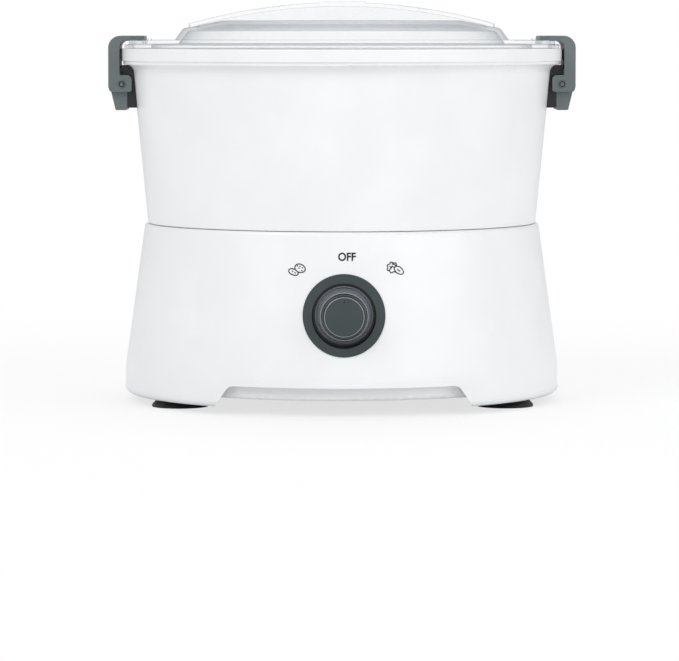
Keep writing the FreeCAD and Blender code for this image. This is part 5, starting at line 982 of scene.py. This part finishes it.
def sharpen(mesh: bpy.types.Mesh, degrees: float) -> None:
    """Keeps edges sharper than an angle crisp under smooth shading.

    Args:
        mesh: Mesh to mark.
        degrees: The angle.
    """
    work = bmesh.new()
    work.from_mesh(mesh)
    for edge in work.edges:
        if len(edge.link_faces) == 2:
            edge.smooth = edge.calc_face_angle(0.0) < math.radians(degrees)
    work.to_mesh(mesh)
    work.free()


@dataclass
class Drive(Part):
    """Motor, gears and interlock inside the base."""

    motor_y: float = 56.0
    spring_place: tuple[float, float, float] = (-79.6743, 46.0, 82.0)
    spring_radius: float = 4.1
    spring_height: float = 8.7
    wire_radius: float = 0.55
    turns: float = 5.5
    teeth: int = 8
    layers: int = 5
    loop_radius: float = 12.6
    layer_step: float = 1.15
    loop_length: float = 31.5
    loop_taper: float = 0.4
    loop_corner: float = 1.4
    loop_wire: float = 0.62
    rotor_height: float = 49.0
    slots = {
        Slot.ZINC: ("motor_can", "motor_screws", "gear_plate"),
        Slot.BLACK: ("motor_end_cap", "cooling_fan"),
        Slot.BRASS: ("motor_bushes", "output_bushes", "motor_pinion"),
        Slot.MAGNET: ("motor_magnets",),
        Slot.CARBON: ("motor_brushes",),
        Slot.COPPER: ("rotor_winding", "commutator"),
        Slot.STEEL: ("idler_axle", "output_shaft", "output_clip", "rotor_shaft", "rotor_core"),
        Slot.GEAR: ("gear_cover", "idler_gear", "output_gear", "drive_dog"),
    }

    def coil(self, material: bpy.types.Material) -> bpy.types.Mesh:
        """Interlock spring wound as a helix.

        Args:
            material: Its material.

        Returns:
            The spring.
        """
        made = NodeTree("interlock_coil", {
            "Turns": self.turns, "Radius": self.spring_radius * MM, "Wire": self.wire_radius * MM,
            "Height": (self.spring_height - 2 * self.wire_radius) * MM,
        })
        spiral = made.node("GeometryNodeCurveSpiral", {
            "Resolution": 26, "Rotations": made.inputs["Turns"], "Start Radius": made.inputs["Radius"],
            "End Radius": made.inputs["Radius"], "Height": made.inputs["Height"],
        })
        wire = made.node(
            "GeometryNodeCurvePrimitiveCircle", {"Resolution": 10, "Radius": made.inputs["Wire"]})
        tube = made.node(
            "GeometryNodeCurveToMesh",
            {"Curve": spiral.outputs[0], "Profile Curve": wire.outputs[0], "Fill Caps": True})
        x, y, z = self.spring_place
        moved = made.node("GeometryNodeTransform", {
            "Geometry": tube.outputs[0], "Translation": (x * MM, y * MM, (z + self.wire_radius) * MM)})
        return made.apply(moved.outputs[0], bpy.data.meshes.new("coil_carrier"), material)

    def windings(self, material: bpy.types.Material) -> bpy.types.Mesh:
        """Rotor winding as loops of wire round each tooth of the core.

        Args:
            material: Its material.

        Returns:
            The winding.
        """
        made = NodeTree("rotor_wires", {"Teeth": self.teeth, "Wire": self.loop_wire * MM})
        joined = made.node("GeometryNodeJoinGeometry")
        for layer in range(self.layers):
            radius = self.loop_radius + self.layer_step * layer
            width = 2 * radius * math.sin(math.pi / self.teeth)
            loop = made.node("GeometryNodeCurvePrimitiveQuadrilateral", {
                "Width": width * MM, "Height": (self.loop_length - layer * self.loop_taper) * MM})
            soft = made.node("GeometryNodeFilletCurve", {
                "Curve": loop.outputs[0], "Radius": self.loop_corner * MM}, mode="POLY")
            soft.inputs["Count"].default_value = 5
            stood = made.node("GeometryNodeTransform", {
                "Geometry": soft.outputs[0], "Translation": (0.0, -radius * MM, self.rotor_height * MM),
                "Rotation": (math.pi / 2, 0.0, 0.0)})
            made.tree.links.new(stood.outputs[0], joined.inputs[0])
        wire = made.node("GeometryNodeCurvePrimitiveCircle", {"Resolution": 8, "Radius": made.inputs["Wire"]})
        tube = made.node(
            "GeometryNodeCurveToMesh", {"Curve": joined.outputs[0], "Profile Curve": wire.outputs[0]})
        circle = made.node("GeometryNodeMeshCircle", {"Vertices": made.inputs["Teeth"], "Radius": 0.001 * MM})
        index = made.node("GeometryNodeInputIndex")
        half = math.pi / self.teeth
        angle = made.node("ShaderNodeMath", {
            0: index.outputs[0], 1: 2 * half, 2: half}, operation="MULTIPLY_ADD")
        turn = made.node("ShaderNodeCombineXYZ", {"Z": angle.outputs[0]})
        placed = made.node("GeometryNodeInstanceOnPoints", {
            "Points": circle.outputs[0], "Instance": tube.outputs[0], "Rotation": turn.outputs[0]})
        moved = made.node("GeometryNodeTransform", {
            "Geometry": placed.outputs[0], "Translation": (0.0, self.motor_y * MM, 0.0)})
        return made.apply(moved.outputs[0], bpy.data.meshes.new("winding_carrier"), material)

    def build(self, finisher: Finisher) -> None:
        """Dresses the drive and winds its spring and rotor."""
        super().build(finisher)
        finisher.place(
            self.coil(finisher.materials[Slot.STEEL]), Body.BASE, Slot.STEEL, ("interlock_spring",))
        finisher.place(
            self.windings(finisher.materials[Slot.COPPER]), Body.ROTOR, Slot.COPPER, ("rotor_winding",))


@dataclass
class Bowl(Part):
    """Peeling bowl with its spindle, disc and latch brackets."""

    grain_size: float = 0.95
    grain_density: float = 95000.0
    grain_seed: int = 7
    grain_least: Colour = (0.28, 0.28, 0.2)
    grain_most: Colour = (0.7, 0.6, 0.5)
    grain_turn: Colour = (0.6, 0.6, 6.283)
    pin_x: float = 127.1
    pin_height: float = 183.3
    pin_half: float = 18.7
    slots = {
        Slot.WHITE: ("peeling_bowl",),
        Slot.BRASS: ("spindle_bush",),
        Slot.RUBBER: ("spindle_seal",),
        Slot.GREY: (
            "left_latch_bracket", "right_latch_bracket", "disc_knob", "left_latch_pin", "right_latch_pin"),
        # The latch pads' black is partly their own tone, partly painted shade in the crevice behind the clips.
        Slot.BLACK: ("left_latch_pad", "right_latch_pad"),
        Slot.STEEL: ("spindle_clip",),
        Slot.ZINC: ("bracket_screws",),
        Slot.GEAR: ("drive_spindle",),
        Slot.TRAY: ("peeling_disc",),
        Slot.GRIT: ("disc_grit",),
    }

    def grains(self, material: bpy.types.Material) -> bpy.types.Mesh:
        """Abrasive grains scattered over the disc's coating.

        Args:
            material: Their material.

        Returns:
            The grains.
        """
        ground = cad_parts["disc_grit"].data.copy()
        made = NodeTree("disc_grains", {
            "Density": self.grain_density, "Seed": self.grain_seed, "Size": self.grain_size * MM})
        normal = made.node("GeometryNodeInputNormal")
        split = made.node("ShaderNodeSeparateXYZ", {"Vector": normal.outputs[0]})
        upward = made.node("FunctionNodeCompare", {
            0: split.outputs["Z"], 1: 0.5}, data_type="FLOAT", operation="GREATER_THAN")
        spots = made.node("GeometryNodeDistributePointsOnFaces", {
            "Mesh": made.inputs["Geometry"], "Selection": upward.outputs[0],
            "Density": made.inputs["Density"], "Seed": made.inputs["Seed"]})
        stone = made.node("GeometryNodeMeshIcoSphere", {"Radius": made.inputs["Size"], "Subdivisions": 1})
        scale = made.node("FunctionNodeRandomValue", {
            0: self.grain_least, 1: self.grain_most}, data_type="FLOAT_VECTOR")
        turn = made.node("FunctionNodeRandomValue", {1: self.grain_turn}, data_type="FLOAT_VECTOR")
        placed = made.node("GeometryNodeInstanceOnPoints", {
            "Points": spots.outputs["Points"], "Instance": stone.outputs[0],
            "Rotation": turn.outputs[0], "Scale": scale.outputs[0]})
        return made.apply(placed.outputs[0], ground, material)

    def turned(self, name: str, x: float, section: Sequence[Point]) -> bpy.types.Mesh:
        """Round piece on a latch pin's axis.

        Args:
            name: Name of the mesh.
            x: Place of the axis in millimetres.
            section: Radius and place along the axis of each ring.

        Returns:
            The piece.
        """
        count = 40
        points = [Vector((x + radius * math.cos(t), y, self.pin_height + radius * math.sin(t))) * MM
                  for radius, y in section for t in angles(count)]
        mesh = mesh_of(name, points, ring_faces(len(section), count))
        sharpen(mesh, 28.0)
        return mesh

    def pins(self, finisher: Finisher) -> None:
        """Latch pins with a groove in each end, filled by a black ring that is painted shade for the dark gap
        round the pin.

        Args:
            finisher: Keeper of the materials.
        """
        end = self.pin_half
        half = [(0.0, end), (0.95, end), (1.05, end - 0.08), (1.05, end - 0.9), (1.75, end - 0.9),
                (1.75, end - 0.05), (1.8, end), (1.95, end), (2.05, end - 0.1)]
        ring = [
            (1.08, end - 0.85), (1.08, end - 0.1), (1.72, end - 0.1), (1.72, end - 0.85), (1.08, end - 0.85)]
        for side, x in (("left", -self.pin_x), ("right", self.pin_x)):
            pin = self.turned(side + "_pin", x, half + [(radius, -y) for radius, y in reversed(half)])
            finisher.place(pin, Body.BOWL, Slot.GREY, (side + "_latch_pin",))
            for place, way in (("front", -1), ("rear", 1)):
                # Black ring in each end's groove: painted shade for the dark gap round the pin.
                shade_ring = self.turned(f"{side}_pin_ring_{place}", x, [(radius, way * y) for radius, y in ring])
                finisher.place(shade_ring, Body.BOWL, Slot.BLACK)

    def build(self, finisher: Finisher) -> None:
        """Dresses the bowl and its disc."""
        super().build(finisher)
        finisher.place(self.grains(finisher.materials[Slot.GRIT]), Body.DISC, Slot.GRIT)
        self.pins(finisher)


@dataclass
class Lid(Part):
    """Clear lid with its gasket, and the clips that hold it."""

    slots = {
        Slot.CLEAR: ("lid",),
        Slot.GASKET: ("lid_gasket",),
        Slot.GREY: ("left_latch", "right_latch"),
    }


@dataclass(frozen=True)
class Lamp:
    """Soft rectangular lamp aimed at the object."""

    name: str
    place: tuple[float, float, float]
    size: float
    power: float

    def build(self, target: Vector) -> None:
        """Hangs the lamp.

        Args:
            target: Point that it is aimed at.
        """
        light = bpy.data.lights.new(self.name, "AREA")
        light.shape = "SQUARE"
        light.size = self.size
        light.energy = self.power
        lamp = bpy.data.objects.new(self.name, light)
        lamp.location = self.place
        lamp.rotation_euler = (target - Vector(self.place)).to_track_quat("-Z", "Y").to_euler()
        bpy.context.scene.collection.objects.link(lamp)


@dataclass
class Studio:
    """White floor and background, soft lamps and the camera."""

    camera_place: tuple[float, float, float] = (-0.0243, -2.272, 0.2145)
    pitch: float = 4.406
    yaw: float = 0.58
    lens: float = 206.8
    ambient: float = 0.62
    floor_colour: Colour = (0.83, 0.83, 0.83)
    floor_reach: float = 30.0
    fade: Point = (0.2, 0.75)
    shadow_share: float = 0.28
    target: Colour = (0.0, 0.0, 0.11)
    lamps: Sequence[Lamp] = (
        Lamp("key_lamp", (-1.3, -1.5, 1.5), 1.3, 18.5),
        Lamp("fill_lamp", (1.5, -1.2, 1.0), 1.4, 13.0),
        Lamp("top_lamp", (0.1, 0.5, 1.9), 1.5, 12.0),
    )

    def world(self) -> None:
        """Even light for surfaces, and white where the camera looks past the object."""
        world = bpy.data.worlds.new("studio_world")
        bpy.context.scene.world = world
        world.use_nodes = True
        tree = world.node_tree
        tree.nodes.clear()
        soft = add_node(tree, "ShaderNodeBackground", {"Strength": self.ambient, "Color": WHITE})
        bright = add_node(tree, "ShaderNodeBackground", {"Strength": 1.0, "Color": WHITE})
        mix = add_node(tree, "ShaderNodeMixShader", {
            0: self.seen(tree), 1: soft.outputs[0], 2: bright.outputs[0]})
        add_node(tree, "ShaderNodeOutputWorld", {"Surface": mix.outputs[0]})

    def seen(self, tree: bpy.types.NodeTree) -> Signal:
        """1 for rays of the camera and for those that it sends through glass, else 0.

        Args:
            tree: Tree to add the nodes to.

        Returns:
            The share.
        """
        path = add_node(tree, "ShaderNodeLightPath")
        camera = Signal(tree, path.outputs["Is Camera Ray"])
        through = Signal(tree, path.outputs["Is Transmission Ray"])
        return camera.calc("MAXIMUM", through)

    def floor(self) -> None:
        """Pale floor that keeps the object's shadow and fades to white further out."""
        reach = self.floor_reach
        square = ((-reach, -reach), (reach, -reach), (reach, reach), (-reach, reach))
        corners = [Vector((x, y, 0.0)) for x, y in square]
        mesh = mesh_of("floor", corners, [[0, 1, 2, 3]], smooth=False)
        recipe = Recipe("studio_floor")
        recipe.fix(base_color=self.floor_colour, roughness=0.85)
        glow = recipe.node("ShaderNodeEmission", {"Strength": 1.0})
        across, along = recipe.axis("X"), recipe.axis("Y")
        distance = (across * across + along * along).power(0.5)
        near = 1.0 - distance.between(*self.fade)
        share = self.seen(recipe.tree) * (1.0 - self.shadow_share * near)
        mix = recipe.node("ShaderNodeMixShader", {0: share, 1: recipe.shader.outputs[0], 2: glow.outputs[0]})
        recipe.tree.links.new(mix.outputs[0], recipe.output.inputs["Surface"])
        mesh.materials.append(recipe.material)
        floor = bpy.data.objects.new("floor", mesh)
        bpy.context.scene.collection.objects.link(floor)

    def camera(self) -> None:
        """Camera at the photograph's place and field."""
        data = bpy.data.cameras.new("photo_camera")
        data.lens = self.lens
        data.sensor_width = 36.0
        data.clip_start, data.clip_end = 0.05, 100.0
        camera = bpy.data.objects.new("photo_camera", data)
        camera.location = self.camera_place
        camera.rotation_euler = (math.radians(90 - self.pitch), 0.0, math.radians(-self.yaw))
        bpy.context.scene.collection.objects.link(camera)
        bpy.context.scene.camera = camera

    def build(self) -> None:
        """Sets up the studio."""
        bpy.context.scene.view_settings.view_transform = "Standard"
        self.camera()
        self.world()
        self.floor()
        for lamp in self.lamps:
            lamp.build(Vector(self.target))


def main() -> None:
    """Builds the studio and dresses the peeler, part by part."""
    logging.basicConfig(level=logging.INFO, format="%(message)s")
    Studio().build()
    finisher = Finisher()
    for part in (BaseShell(), ControlKnob(), Drive(), Bowl(), Lid()):
        part.build(finisher)
        LOG.info("finished %s", type(part).__name__)


if __name__ == "__main__":
    main()
